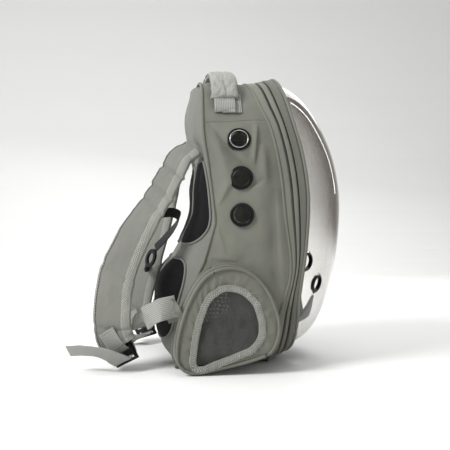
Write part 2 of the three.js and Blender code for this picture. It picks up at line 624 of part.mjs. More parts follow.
function addStraps() {
  for (const [label, table, side] of [['left', leftStrapLine, -1], ['right', rightStrapLine, 1]]) {
    const line = strapStations(table)
    add(`shoulder_strap_${label}`, band(line, strapWidth, strapThick), 'padCloth')

    const end = line[line.length - 1]
    const before = line[line.length - 2]
    const down = end.point.clone().sub(before.point).normalize()
    const outer = end.face.clone()
    if (outer.x > 0) outer.negate()
    const offset = strapThick / 2 + gap + 0.8
    const patch = [-24, -14, -4].map(d => ({
      point: end.point.clone().addScaledVector(down, d).addScaledVector(outer, offset + 0.6),
      across: end.across, face: end.face,
    }))
    add(`strap_patch_${label}`, band(patch, 44, 1.6), 'webbing')

    const buckle = end.point.clone().addScaledVector(down, 12.6)
    const frame = new THREE.Shape([[-19, -12], [19, -12], [19, 12], [-19, 12]].map(([a, b]) => new THREE.Vector2(a, b)))
    for (const slot of [-5.5, 5.5]) {
      const hole = [[-15.5, slot - 2.6], [15.5, slot - 2.6], [15.5, slot + 2.6], [-15.5, slot + 2.6]]
      frame.holes.push(new THREE.Path(hole.map(([a, b]) => new THREE.Vector2(a, b))))
    }
    const lock = new THREE.ExtrudeGeometry(frame, { depth: 4, bevelEnabled: false }).translate(0, 0, -2)
    const axes = new THREE.Matrix4().makeBasis(end.across, down, end.across.clone().cross(down))
    lock.applyMatrix4(axes).translate(buckle.x, buckle.y, buckle.z)
    add(`ladder_lock_${label}`, plain(lock), 'hard')

    const wish = new THREE.Vector3(0, 0.82, -0.57)
    const throughLock = lockRoute.map(({ down: along, behind }) =>
      buckle.clone().addScaledVector(down, along).addScaledVector(outer, -behind))
    const turned = end.across.clone().multiplyScalar(Math.sign(end.across.dot(wish)))
    const { fromTab, tail } = webbingLines[label]
    const flat = new THREE.Vector3(-0.45, 0, -0.9)
    const crosswise = new THREE.Vector3(0, 0.95, -0.3)
    const wishes = [
      ...fromTab.map((p, i) => flat.clone().lerp(crosswise, Math.max(0, i - 1) / (fromTab.length - 2))),
      ...throughLock.map((p, i) => crosswise.clone().lerp(turned, i === 0 ? 0.15 : 1)), ...tail.map((p, i) => turned.clone().lerp(wish, Math.min(1, (i + 1) / 2))),
    ]
    const twisted = fromTab.length + 2
    const points = [...fromTab, ...throughLock, ...tail].map(({ x, y, z }) => new THREE.Vector3(x, y, z))
    const eased = [points, wishes].map(list => [
      ...new THREE.CatmullRomCurve3(list.slice(0, twisted)).getPoints((twisted - 1) * 3), ...list.slice(twisted),
    ])
    const route = webStations(...eased)
    add(`strap_webbing_${label}`, band(route, webbingWidth, webbingThick), 'webbing')
  }
}

// Stations of a thin band: its width keeps as near to the wished directions as its route allows
function webStations(table, wishes) {
  const points = table.map(({ x, y, z }) => new THREE.Vector3(x, y, z))
  return points.map((point, i) => {
    const ahead = points[Math.min(i + 1, points.length - 1)].clone().sub(points[Math.max(i - 1, 0)]).normalize()
    const wish = wishes[i] ?? wishes
    const across = wish.clone().addScaledVector(ahead, -wish.dot(ahead)).normalize()
    return { point, across, face: ahead.clone().cross(across).normalize() }
  })
}

// Places on a face of a shoulder strap where webbing lies flat; direction 1 is its inner face
function seats(table, places, direction) {
  const line = strapStations(table)
  const off = strapThick / 2 + webbingThick / 2 + gap + (direction > 0 ? chestLift : 0)
  const points = places.map(({ down, across }) => {
    const [a, b] = [line[Math.floor(down)], line[Math.ceil(down)]]
    const share = down - Math.floor(down)
    const outer = a.face.clone().lerp(b.face, share).normalize()
    if (outer.x > 0) outer.negate()
    return a.point.clone().lerp(b.point, share)
      .addScaledVector(a.across.clone().lerp(b.across, share), across).addScaledVector(outer, -direction * off)
  })
  const first = Math.floor(places[0].down)
  return { points, up: line[first].point.clone().sub(line[first + 1].point).normalize() }
}

function addWebbing() {
  for (const side of [-1, 1]) {
    const label = side < 0 ? 'left' : 'right'
    const tab = tabLine.map(({ x, y, z }) => ({ x, y: side * y, z }))
    add(`anchor_tab_${label}`, band(webStations(tab, new THREE.Vector3(0.7, 0, 0.7)), tabWidth, clothWall), 'cloth')
  }
  const nearSeats = seats(leftStrapLine, chestSeats.left, 1)
  const farSeats = seats(rightStrapLine, chestSeats.right, -1)
  const upright = new THREE.Vector3(0.3, 0, 1)
  const near = webStations([...nearSeats.points, ...chestLine], [nearSeats.up, nearSeats.up, ...chestLine.map(() => upright)])
  const far = webStations([...chestEndLine, ...farSeats.points], [...chestEndLine.map(() => upright), farSeats.up, farSeats.up])
  add('sternum_strap_left', band(near, chestWidth, webbingThick), 'mesh')
  add('sternum_strap_right', band(far, chestWidth, webbingThick), 'mesh')
  const { x, y, z, long, wide, thick, hole } = chestBuckle
  const profile = [[hole, -0.5], [1, -0.5], [1, 0.5], [hole, 0.5], [hole, -0.5]]
  const ringShape = plain(new THREE.LatheGeometry(profile.map(([r, h]) => new THREE.Vector2(r, h)), 18))
  ringShape.scale(wide, thick, long)
  const ahead = new THREE.Vector3(-0.38, 0.55, -0.74).normalize()
  const through = new THREE.Vector3(-0.85, -0.5, 0).addScaledVector(ahead, 0.05).normalize()
  const across = through.clone().cross(ahead).normalize()
  ringShape.applyMatrix4(new THREE.Matrix4().makeBasis(across, ahead.clone().cross(across), ahead)).translate(x, y, z)
  add('sternum_buckle', ringShape, 'hard')
}

function addMat() {
  const share = [-1, -0.5, 0, 0.5, 1]
  const grid = lift => matProfile.map(({ x, z, half }, i) => share.map(s => {
    const slope = Math.max(0, (x - 48) / 60)
    return new THREE.Vector3(x - lift * slope, s * half, z + lift * (1 - slope * 0.7) + slope * 6 * s * s)
  }))
  add('floor_mat', slab(grid(0), grid(matThick)), 'mesh')
}

addBody()
addDome()
addBack()
addHandle()
addStraps()
addWebbing()
addMat()

export default group
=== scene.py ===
# Soft pet carrier with a clear domed front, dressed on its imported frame.
# Sizes are in millimetres and turned to metres when a mesh is made. +X is the dome, +Z is up.
import math
from bisect import bisect_right

import bmesh
import bpy
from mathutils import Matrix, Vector, noise


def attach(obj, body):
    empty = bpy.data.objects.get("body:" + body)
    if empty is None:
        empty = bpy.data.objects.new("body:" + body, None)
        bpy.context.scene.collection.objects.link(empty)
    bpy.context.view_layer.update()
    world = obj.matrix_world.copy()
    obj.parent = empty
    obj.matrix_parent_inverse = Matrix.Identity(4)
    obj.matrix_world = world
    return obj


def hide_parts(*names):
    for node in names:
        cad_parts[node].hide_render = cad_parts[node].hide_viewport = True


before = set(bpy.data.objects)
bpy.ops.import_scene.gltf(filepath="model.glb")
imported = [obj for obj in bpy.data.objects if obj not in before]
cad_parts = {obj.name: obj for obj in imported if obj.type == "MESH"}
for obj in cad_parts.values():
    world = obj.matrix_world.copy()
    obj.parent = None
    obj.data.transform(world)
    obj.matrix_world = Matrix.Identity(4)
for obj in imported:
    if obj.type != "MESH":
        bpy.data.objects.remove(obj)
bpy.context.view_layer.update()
mm = 0.001
bagMiddle = (0, 0, 200)

# The body's seams, as in the frame: rows of height and depth, and the outline of each ring
backProfile = [
    (0, -79), (20, -79), (54, -75), (95, -64), (128, -51), (148, -41), (168, -33), (195, -28),
    (228, -31), (275, -37), (322, -43), (400, -42),
]
seamProfile = [
    (0, 52), (69, 58), (85, 62), (125, 72), (154, 72), (207, 65), (267, 59), (326, 48), (358, 36),
    (392, 27), (403, 24),
]
rimProfile = [
    (10, 80), (33, 84), (100, 85), (166, 92), (228, 95), (283, 89.5), (341, 78), (390, 70), (412, 66),
]
padProfile = [
    (6, -80), (25, -96), (50, -100), (86, -100), (122, -95), (148, -79), (173, -65), (197, -52),
    (215, -46), (250, -45), (282, -42), (303, -46), (326, -55), (359, -59), (392, -52),
]
backShape = {"halfWidth": 128, "low": -8, "high": 401, "topPower": 3.2, "lowPower": 7}
seamShape = {"halfWidth": 141, "low": -6, "high": 402, "topPower": 2.6, "lowPower": 3.2}
rimShape = {"halfWidth": 148, "low": 10, "high": 411, "topPower": 2.3, "lowPower": 3}
sideBulge = 6
domeHeight, domeSetBack, domeInset = 83, 6, 4.5
topCorner, lowCorner = 5 / 40, 16 / 40  # where the wall is seamed, as a share of the way round
doorFace = 160


# Smooth depth at a height
def along(rows, z):
    last = len(rows) - 1
    held = min(max(z, rows[0][0]), rows[last][0])
    i = 0
    while i < last - 1 and held > rows[i + 1][0]:
        i += 1

    def slope(k):
        a, b = rows[max(k - 1, 0)], rows[min(k + 1, last)]
        return (b[1] - a[1]) / (b[0] - a[0])

    span = rows[i + 1][0] - rows[i][0]
    t = (held - rows[i][0]) / span
    start = (1 + 2 * t) * (1 - t) ** 2 * rows[i][1] + t * (1 - t) ** 2 * span * slope(i)
    end = t * t * (3 - 2 * t) * rows[i + 1][1] + t * t * (t - 1) * span * slope(i + 1)
    return start + end


# Closed line as a function of the share of its length
def makeLoop(points, reached):
    def at(share):
        wanted = (share % 1.0) * reached[-1]
        i = min(max(bisect_right(reached, wanted) - 1, 0), len(points) - 2)
        return points[i].lerp(points[i + 1], (wanted - reached[i]) / (reached[i + 1] - reached[i]))

    at.length = reached[-1]
    return at


# Closed outline of the body at one seam, from the top middle down the left side
def makeRing(shape, profile):
    samples = 720
    middle = (shape["low"] + shape["high"]) / 2
    halfHeight = (shape["high"] - shape["low"]) / 2
    points, reached = [], [0.0]
    for i in range(samples + 1):
        angle = 2 * math.pi * i / samples
        across, up = math.sin(angle), math.cos(angle)
        power = 2 / (shape["topPower"] if up > 0 else shape["lowPower"])
        y = -shape["halfWidth"] * math.copysign(abs(across) ** power, across)
        z = max(0, middle + halfHeight * math.copysign(abs(up) ** power, up))
        points.append(Vector((along(profile, z), y, z)))
        if i:
            reached.append(reached[-1] + math.hypot(y - points[i - 1].y, z - points[i - 1].z))
    return makeLoop(points, reached)


backRing = makeRing(backShape, backProfile)
seamRing = makeRing(seamShape, seamProfile)
rimRing = makeRing(rimShape, rimProfile)


# Cloth between two seams: a share of the way round, and a share of the way across
def makeWall(ringA, ringB, clearA, clearB, bulge):
    def at(fraction, across):
        a, b = ringA(fraction), ringB(fraction)
        length = (b - a).length
        v = (clearA + across * (length - clearA - clearB)) / length
        p = a.lerp(b, v)
        sideways = (abs(p.y) / 130) ** 4 * min(1, p.z / 80)
        p.y += math.copysign(bulge * sideways * 4 * v * (1 - v), p.y)
        return p

    return at


def normalAt(surface, u, v, step=1e-3):
    du = surface(u + step, v) - surface(u - step, v)
    dv = surface(u, v + step) - surface(u, v - step)
    normal = du.cross(dv).normalized()
    return -normal if normal.dot(surface(u, v) - Vector(bagMiddle)) < 0 else normal


sideWall = makeWall(backRing, seamRing, 1.2, 1.2, sideBulge)


# Place and outward direction on the side wall, from its side view place
def onSideWall(x, z, side):
    fraction, across = (0.25 if side < 0 else 0.75), 0.5
    for _ in range(60):
        p = sideWall(fraction, across)
        across = min(1, max(0, across + (x - p.x) / 120))
        fraction += (z - p.z) / 1200 * side
    return sideWall(fraction, across), normalAt(sideWall, fraction, across)


# Depth of the dome's outer face for a place seen from the front
def domeFace(y, z):
    middle = (rimShape["low"] + rimShape["high"]) / 2
    halfHeight = (rimShape["high"] - rimShape["low"]) / 2 - domeInset
    up = min(1, abs(z - middle) / halfHeight)
    power = rimShape["topPower"] if z > middle else rimShape["lowPower"]
    width = (rimShape["halfWidth"] - domeInset) * max(1e-6, 1 - up ** power) ** (1 / power)
    side = min(1, abs(y) / width)
    return along(rimProfile, z) - domeSetBack + domeHeight * math.sqrt(1 - up ** 3.1) * (1 - side ** 2.1)


def backHalf(z, margin):
    middle = (backShape["low"] + backShape["high"]) / 2
    up = (abs(z - middle) + margin) / ((backShape["high"] - backShape["low"]) / 2)
    power = backShape["topPower"] if z > middle else backShape["lowPower"]
    return backShape["halfWidth"] * max(0, 1 - up ** power) ** (1 / power) - margin


def padFace(y, z):
    depth = along(backProfile, z) - along(padProfile, z)
    return along(backProfile, z) - depth * (1 - min(1, abs(y) / backHalf(z, 4)) ** 4)


# Smooth curve through points, open or closed, for a share from 0 to 1
def curveAt(points, t, closed=False):
    count = len(points)
    spans = count if closed else count - 1
    s = (t % 1.0 if closed else min(max(t, 0), 1)) * spans
    i = min(int(s), spans - 1)
    f = s - i

    def get(k):
        return points[k % count] if closed else points[min(max(k, 0), count - 1)]

    a, b, c, d = get(i - 1), get(i), get(i + 1), get(i + 2)
    square, cube = 2 * a - 5 * b + 4 * c - d, 3 * b - a - 3 * c + d
    return 0.5 * (2 * b + (c - a) * f + square * f ** 2 + cube * f ** 3)


# Smooth closed curve through points
def evenLoop(points):
    samples = 480
    line = [curveAt(points, i / samples, True) for i in range(samples + 1)]
    reached = [0.0]
    for a, b in zip(line, line[1:]):
        reached.append(reached[-1] + (b - a).length)
    return makeLoop(line, reached)


# Uneven height of cloth at a place, in millimetres
def ripple(p, size, amount, seed=0):
    return amount * noise.noise(Vector((p.x / size + seed, p.y / size, p.z / size)))


# Materials
def newGroup(name, inputs, outputs):
    group = bpy.data.node_groups.new(name, "ShaderNodeTree")
    for label, kind, value in inputs:
        socket = group.interface.new_socket(label, in_out="INPUT", socket_type=kind)
        if value is not None:
            socket.default_value = value
    for label, kind in outputs:
        group.interface.new_socket(label, in_out="OUTPUT", socket_type=kind)
    nodes = group.nodes
    return group, nodes, group.links, nodes.new("NodeGroupInput"), nodes.new("NodeGroupOutput")


def mathNode(nodes, links, operation, *values):
    node = nodes.new("ShaderNodeMath")
    node.operation = operation
    for i, value in enumerate(values):
        if isinstance(value, (int, float)):
            node.inputs[i].default_value = value
        else:
            links.new(value, node.inputs[i])
    return node.outputs[0]


def newNode(nodes, kind, **values):
    node = nodes.new(f"ShaderNode{kind}")
    for label, value in values.items():
        node.inputs[label.replace("_", " ")].default_value = value
    return node


# Plain weave from UV in metres: height and a thread shade
def weaveGroup():
    group, nodes, links, given, result = newGroup(
        "Weave",
        [("UV", "NodeSocketVector", None), ("Threads per metre", "NodeSocketFloat", 1800)],
        [("Height", "NodeSocketFloat"), ("Shade", "NodeSocketFloat")],
    )
    split = nodes.new("ShaderNodeSeparateXYZ")
    links.new(given.outputs["UV"], split.inputs[0])
    turns = mathNode(nodes, links, "MULTIPLY", given.outputs["Threads per metre"], math.pi)
    u = mathNode(nodes, links, "MULTIPLY", split.outputs[0], turns)
    v = mathNode(nodes, links, "MULTIPLY", split.outputs[1], turns)
    waveU = mathNode(nodes, links, "SINE", u)
    waveV = mathNode(nodes, links, "SINE", v)
    height = mathNode(nodes, links, "MULTIPLY", waveU, waveV)
    links.new(height, result.inputs["Height"])
    shade = mathNode(nodes, links, "MULTIPLY_ADD", height, 0.5, 0.5)
    links.new(shade, result.inputs["Shade"])
    return group


# Ribs of webbing: height over the width, with small cross threads, and painted shade in the grooves between
# ribs
def ribGroup():
    group, nodes, links, given, result = newGroup(
        "Ribs",
        [("UV", "NodeSocketVector", None), ("Ribs per metre", "NodeSocketFloat", 420),
         ("Threads per metre", "NodeSocketFloat", 1100)],
        [("Height", "NodeSocketFloat"), ("Groove shade", "NodeSocketFloat")],
    )
    split = nodes.new("ShaderNodeSeparateXYZ")
    links.new(given.outputs["UV"], split.inputs[0])
    ribTurns = mathNode(nodes, links, "MULTIPLY", given.outputs["Ribs per metre"], math.pi)
    threadTurns = mathNode(nodes, links, "MULTIPLY", given.outputs["Threads per metre"], math.pi)
    u = mathNode(nodes, links, "MULTIPLY", split.outputs[0], ribTurns)
    v = mathNode(nodes, links, "MULTIPLY", split.outputs[1], threadTurns)
    rib = mathNode(nodes, links, "ABSOLUTE", mathNode(nodes, links, "SINE", u))
    thread = mathNode(nodes, links, "SINE", v)
    height = mathNode(nodes, links, "MULTIPLY_ADD", thread, 0.18, rib)
    links.new(height, result.inputs["Height"])
    # painted shade, darkest between the ribs
    grooveShade = mathNode(nodes, links, "SUBTRACT", 1.0, mathNode(nodes, links, "POWER", rib, 0.5))
    links.new(grooveShade, result.inputs["Groove shade"])
    return group


# Knitted mesh: round holes in offset rows, with painted shade in the holes
def knitGroup():
    group, nodes, links, given, result = newGroup(
        "Knit holes",
        [("UV", "NodeSocketVector", None), ("Holes per metre", "NodeSocketFloat", 400)],
        [("Height", "NodeSocketFloat"), ("Hole shade", "NodeSocketFloat")],
    )
    split = nodes.new("ShaderNodeSeparateXYZ")
    links.new(given.outputs["UV"], split.inputs[0])
    turns = mathNode(nodes, links, "MULTIPLY", given.outputs["Holes per metre"], math.pi)
    u = mathNode(nodes, links, "MULTIPLY", split.outputs[0], turns)
    v = mathNode(nodes, links, "MULTIPLY", split.outputs[1], turns)
    a = mathNode(nodes, links, "SINE", mathNode(nodes, links, "ADD", u, v))
    b = mathNode(nodes, links, "SINE", mathNode(nodes, links, "SUBTRACT", u, v))
    product = mathNode(nodes, links, "ABSOLUTE", mathNode(nodes, links, "MULTIPLY", a, b))
    # painted shade in the holes
    hole = newNode(nodes, "MapRange", From_Min=0.25, From_Max=0.6)
    links.new(product, hole.inputs["Value"])
    links.new(hole.outputs[0], result.inputs["Hole shade"])
    links.new(mathNode(nodes, links, "SUBTRACT", 1.0, hole.outputs[0]), result.inputs["Height"])
    return group


# Soft uneven tone and fine creases of handled cloth, on object coordinates
def wearGroup():
    group, nodes, links, given, result = newGroup(
        "Handled cloth",
        [("Vector", "NodeSocketVector", None), ("Mottle", "NodeSocketFloat", 0.12),
         ("Crease size", "NodeSocketFloat", 26)],
        [("Tone", "NodeSocketFloat"), ("Height", "NodeSocketFloat")],
    )
    broad = newNode(nodes, "TexNoise", Scale=9, Detail=4)
    links.new(given.outputs["Vector"], broad.inputs["Vector"])
    centred = mathNode(nodes, links, "SUBTRACT", broad.outputs[0], 0.5)
    tone = mathNode(nodes, links, "MULTIPLY_ADD", centred, given.outputs["Mottle"], 1.0)
    links.new(tone, result.inputs["Tone"])
    crease = newNode(nodes, "TexNoise", Detail=3, Roughness=0.45, Distortion=0.6)
    links.new(given.outputs["Crease size"], crease.inputs["Scale"])
    links.new(given.outputs["Vector"], crease.inputs["Vector"])
    links.new(crease.outputs[0], result.inputs["Height"])
    return group


groups = {"weave": weaveGroup(), "ribs": ribGroup(), "knit": knitGroup(), "wear": wearGroup()}


def useGroup(material, key, **values):
    node = material.node_tree.nodes.new("ShaderNodeGroup")
    node.node_tree = groups[key]
    for label, value in values.items():
        node.inputs[label.replace("_", " ")].default_value = value
    return node


def newMaterial(name, colour, roughness, **settings):
    material = bpy.data.materials.new(name)
    material.use_nodes = True
    shader = material.node_tree.nodes["Principled BSDF"]
    shader.inputs["Base Color"].default_value = (*colour, 1)
    shader.inputs["Roughness"].default_value = roughness
    for label, value in settings.items():
        shader.inputs[label.replace("_", " ")].default_value = value
    return material


# Cloth whose pattern group and wear set its tone and its bump
def clothMaterial(name, colour, key, pattern, depth, roughness=0.8, shade="Shade", shadeAmount=0.25,
                  mottle=0.5, creaseDepth=0.001, creaseSize=26, sheen=0.15):
    material = newMaterial(name, colour, roughness, Sheen_Weight=sheen, Sheen_Roughness=0.4)
    nodes, links = material.node_tree.nodes, material.node_tree.links
    shader = nodes["Principled BSDF"]
    shader.inputs["Specular IOR Level"].default_value = 0.3
    places = nodes.new("ShaderNodeTexCoord")
    weave = useGroup(material, key, **pattern)
    links.new(places.outputs["UV"], weave.inputs["UV"])
    wear = useGroup(material, "wear", Mottle=mottle, Crease_size=creaseSize)
    links.new(places.outputs["Object"], wear.inputs["Vector"])
    tone = mathNode(nodes, links, "MULTIPLY_ADD", weave.outputs[shade], -shadeAmount, 1.0)
    tone = mathNode(nodes, links, "MULTIPLY", tone, wear.outputs["Tone"])
    scale = nodes.new("ShaderNodeVectorMath")
    scale.operation = "SCALE"
    scale.inputs[0].default_value = colour
    links.new(tone, scale.inputs["Scale"])
    links.new(scale.outputs[0], shader.inputs["Base Color"])
    creases = newNode(nodes, "Bump", Distance=creaseDepth)
    links.new(wear.outputs["Height"], creases.inputs["Height"])
    threads = newNode(nodes, "Bump", Distance=depth)
    links.new(weave.outputs["Height"], threads.inputs["Height"])
    links.new(creases.outputs[0], threads.inputs["Normal"])
    links.new(threads.outputs[0], shader.inputs["Normal"])
    return material


fineWeave, padWeave = {"Threads_per_metre": 1500}, {"Threads_per_metre": 1300}
materials = {
    "cloth": clothMaterial("shellCloth", (0.215, 0.218, 0.182), "weave", fineWeave, 0.00012,
                           creaseDepth=0.0022),
    # shell cloth made darker for the dome frame, as painted shade
    "shadedFrameCloth": clothMaterial("shadedFrameCloth", (0.165, 0.168, 0.142), "weave", fineWeave, 0.00012),
    "pad": clothMaterial("padCloth", (0.222, 0.222, 0.2), "weave", padWeave, 0.00014,
                         creaseDepth=0.0012, creaseSize=34),
    "handleCloth": clothMaterial("handleCloth", (0.4, 0.4, 0.37), "weave", padWeave, 0.00014,
                                 creaseDepth=0.0016, creaseSize=60),
    "piping": clothMaterial("pipingCloth", (0.2, 0.202, 0.17), "weave", fineWeave, 0.0001),
    "binding": clothMaterial("knitBinding", (0.42, 0.425, 0.38), "knit", {"Holes_per_metre": 340}, 0.0009,
                             shade="Hole shade", shadeAmount=0.5, creaseDepth=0.0016, creaseSize=60),
    "webbing": clothMaterial("webbing", (0.4, 0.4, 0.375), "ribs", {}, 0.0006, shade="Groove shade",
                             shadeAmount=0.5, roughness=0.7),
    "darkWebbing": clothMaterial("darkWebbing", (0.02, 0.021, 0.022), "ribs", {"Ribs_per_metre": 500},
                                 0.0004, shade="Groove shade", shadeAmount=0.4),
    "airMesh": clothMaterial("airMesh", (0.009, 0.0095, 0.01), "knit", {"Holes_per_metre": 330}, 0.0012,
                             shade="Hole shade", shadeAmount=0.8, sheen=0.0, roughness=1.0),
    "net": newMaterial("windowNet", (0.08, 0.082, 0.075), 0.8),
    "mat": clothMaterial("matCloth", (0.1, 0.11, 0.108), "weave", {"Threads_per_metre": 900}, 0.0002),
    "lining": clothMaterial("lining", (0.16, 0.165, 0.145), "weave", fineWeave, 0.0001),
    "thread": newMaterial("sewingThread", (0.5, 0.5, 0.46), 0.6),
    "coil": newMaterial("zipCoil", (0.05, 0.051, 0.045), 0.45),
    # near-black zip tape: painted shade in the zip's grooves
    "tapeShade": newMaterial("zipTapeGrooveShade", (0.02, 0.0205, 0.018), 0.9),
    # bright metal ring used as a painted highlight on the top eyelets
    "rim": newMaterial("ringHighlight", (0.8, 0.8, 0.78), 0.3, Metallic=1.0),
    "plastic": newMaterial("blackPlastic", (0.006, 0.0063, 0.0066), 0.3, Specular_IOR_Level=0.3),
    "clear": newMaterial("clearPlastic", (0.9, 0.89, 0.86), 0.02, Transmission_Weight=1.0, IOR=1.35),
}


# Clear sheet, with a painted dark brown reflection in its upper part that is strongest where
# the sheet is seen along its surface. Light passes it without a dark shadow.
def clearPlastic():
    material = materials["clear"]
    nodes, links = material.node_tree.nodes, material.node_tree.links
    shader = nodes["Principled BSDF"]
    edge = newNode(nodes, "LayerWeight", Blend=0.5)
    grazing = mathNode(nodes, links, "POWER", edge.outputs["Facing"], 1.7)
    places = nodes.new("ShaderNodeTexCoord")
    split = nodes.new("ShaderNodeSeparateXYZ")
    links.new(places.outputs["Object"], split.inputs[0])
    waves = newNode(nodes, "TexNoise", Scale=9, Detail=1)
    links.new(places.outputs["Object"], waves.inputs["Vector"])
    slanted = mathNode(nodes, links, "MULTIPLY_ADD", split.outputs[0], 0.9, split.outputs[2])
    level = mathNode(nodes, links, "MULTIPLY_ADD", waves.outputs[0], 0.1, slanted)
    # painted reflection only in the sheet's upper part
    upper = newNode(nodes, "MapRange", From_Min=0.31, From_Max=0.395, To_Min=0.24)
    upper.interpolation_type = "SMOOTHSTEP"
    links.new(level, upper.inputs["Value"])
    # painted reflection grows where the sheet is seen along its surface
    depth = mathNode(nodes, links, "MULTIPLY_ADD", grazing, 1.7, 0.04)
    paintedReflection = mathNode(nodes, links, "MULTIPLY", depth, upper.outputs[0])
    paintedReflectionColour = nodes.new("ShaderNodeMix")
    paintedReflectionColour.data_type = "RGBA"
    paintedReflectionColour.inputs["A"].default_value = (0.975, 0.97, 0.955, 1)
    # dark brown of the painted reflection
    paintedReflectionColour.inputs["B"].default_value = (0.11, 0.08, 0.05, 1)
    links.new(paintedReflection, paintedReflectionColour.inputs["Factor"])
    links.new(paintedReflectionColour.outputs["Result"], shader.inputs["Base Color"])
    shade = newNode(nodes, "BsdfTransparent", Color=(0.93, 0.93, 0.92, 1))
    light = nodes.new("ShaderNodeLightPath")
    mix = nodes.new("ShaderNodeMixShader")
    links.new(light.outputs["Is Shadow Ray"], mix.inputs["Fac"])
    links.new(shader.outputs[0], mix.inputs[1])
    links.new(shade.outputs[0], mix.inputs[2])
    links.new(mix.outputs[0], nodes["Material Output"].inputs["Surface"])


clearPlastic()
print("materials made")


# Building pieces
# Grid mapped by place(u, v) in millimetres. size gives its UV in metres, or unroll its first
# coordinate; a wrapped side is joined.
def gridMesh(columns, rows, place, size=(0.1, 0.1), wrapU=False, wrapV=False, capped=False, unroll=None):
    bm = bmesh.new()
    bmesh.ops.create_grid(bm, x_segments=columns, y_segments=rows, size=0.5)
    layer = bm.loops.layers.uv.new("UVMap")
    for face in bm.faces:
        for loop in face.loops:
            co = loop.vert.co
            across = unroll(co.x + 0.5) if unroll else (co.x + 0.5) * size[0]
            loop[layer].uv = (across, (co.y + 0.5) * size[1])
    for vert in bm.verts:
        vert.co = place(vert.co.x + 0.5, vert.co.y + 0.5) * mm
    if wrapU or wrapV:
        bmesh.ops.remove_doubles(bm, verts=bm.verts, dist=2e-6)
    if capped:
        bmesh.ops.holes_fill(bm, edges=[e for e in bm.edges if e.is_boundary])
    return bm


def addObject(name, data):
    made = bpy.data.objects.new(name, data)
    bpy.context.scene.collection.objects.link(made)
    return made


# Mesh made a piece of the bag. away turns an open sheet's faces away from that place.
def makePiece(name, bm, look, replaces=(), away=None, thickness=0, inner=None):
    if away is None:
        bmesh.ops.recalc_face_normals(bm, faces=bm.faces)
    else:
        centre = Vector(away) * mm
        bm.normal_update()
        facing = sum(f.normal.dot(f.calc_center_median() - centre) * f.calc_area() for f in bm.faces)
        if facing < 0:
            bmesh.ops.reverse_faces(bm, faces=bm.faces)
    for face in bm.faces:
        face.smooth = True
    mesh = bpy.data.meshes.new(name)
    bm.to_mesh(mesh)
    bm.free()
    piece = addObject(name, mesh)
    mesh.materials.append(materials[look])
    if thickness:
        solid = piece.modifiers.new("thickness", "SOLIDIFY")
        solid.thickness = thickness * mm
        solid.offset = -1
        if inner:
            mesh.materials.append(materials[inner])
            solid.material_offset = 1
    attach(piece, "root")
    if replaces:
        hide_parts(*replaces)
    return piece


# Round cord along a closed or open line given by a share of its length
def cordMesh(line, length, radius, rows, sides=10, closed=True, wobble=0.0, seed=0.0):
    def place(u, v):
        step = 0.5 / rows
        p = line(v)
        ahead = (line(v + step) - line(v - step)).normalized()
        first = Vector((1, 0, 0)) if abs(ahead.x) < 0.9 else Vector((0, 0, 1))
        first = (first - ahead * first.dot(ahead)).normalized()
        second = ahead.cross(first)
        r = radius + ripple(p, 9, wobble, seed)
        angle = 2 * math.pi * u
        return p + (first * math.cos(angle) + second * math.sin(angle)) * r

    size = (2 * math.pi * radius * mm, length * mm)
    return gridMesh(sides, rows, place, size, wrapU=True, wrapV=closed, capped=not closed)


# Rounded flat section: a share of the way round gives offsets across and off the face
def flatSection(u, width, thick, power=4.0):
    angle = 2 * math.pi * u
    c, s = math.cos(angle), math.sin(angle)
    roundness = 2 / power
    edge = min(thick / 2, width / 2)
    x = math.copysign(abs(c) ** roundness, c)
    y = math.copysign(abs(s) ** roundness, s)
    return x * (width / 2 - edge * 0.2 * (1 - abs(y))), y * thick / 2


# Section whose columns crowd a little at its edges, with the distance round it for its UV
def evenSection(width, thick, power, samples=360):
    points = [flatSection(i / samples, width, thick, power) for i in range(samples + 1)]
    runs = [0.0]
    for (ax, ay), (bx, by) in zip(points, points[1:]):
        runs.append(runs[-1] + math.hypot(bx - ax, by - ay))
    reached = [0.65 * run / runs[-1] + 0.35 * i / samples for i, run in enumerate(runs)]

    def at(share):
        wanted = min(max(share, 0), 1)
        i = min(max(bisect_right(reached, wanted) - 1, 0), samples - 1)
        f = (wanted - reached[i]) / (reached[i + 1] - reached[i])
        (ax, ay), (bx, by) = points[i], points[i + 1]
        return ax + (bx - ax) * f, ay + (by - ay) * f, runs[i] + (runs[i + 1] - runs[i]) * f

    return at


# Path with a width direction: points and wishes are lists, and each share gives point, across and face
def makePath(points, wishes):
    def at(t):
        p = curveAt(points, t)
        ahead = (curveAt(points, t + 0.004) - curveAt(points, t - 0.004)).normalized()
        wish = curveAt(wishes, t)
        across = (wish - ahead * wish.dot(ahead)).normalized()
        return p, across, ahead.cross(across).normalized()

    samples = [curveAt(points, i / 200) for i in range(201)]
    at.length = sum((b - a).length for a, b in zip(samples, samples[1:]))
    return at


def bandMesh(path, width, thick, rows, columns=32, power=4.0, bend=None):
    section = evenSection(width, thick, power)

    def place(u, v):
        p, across, face = path(v)
        a, b, _ = section(u)
        if bend:
            a, b = bend(a, b, v)
        return p + across * a + face * b

    return gridMesh(columns, rows, place, (0, path.length * mm), wrapU=True, capped=True,
                    unroll=lambda u: section(u)[2] * mm)


# Row of stitches along a line: each is a short rounded bar lying on the surface
def stitchMesh(line, length, normal, pitch=3.2, stitch=2.1, radius=0.28):
    bm = bmesh.new()
    count = max(1, int(length / pitch))
    for i in range(count):
        t = (i + 0.5) / count
        p = line(t)
        half = 0.5 * stitch / length
        ahead = line(min(1, t + half)) - line(max(0, t - half))
        up = normal(t).normalized()
        ahead = (ahead - up * ahead.dot(up)).normalized()
        side = up.cross(ahead)
        made = bmesh.ops.create_cone(bm, cap_ends=True, segments=6, radius1=radius, radius2=radius, depth=1)
        for vert in made["verts"]:
            c = vert.co.copy()
            vert.co = (p + side * c.x + up * (c.y + radius * 0.3) + ahead * c.z * stitch) * mm
    return bm


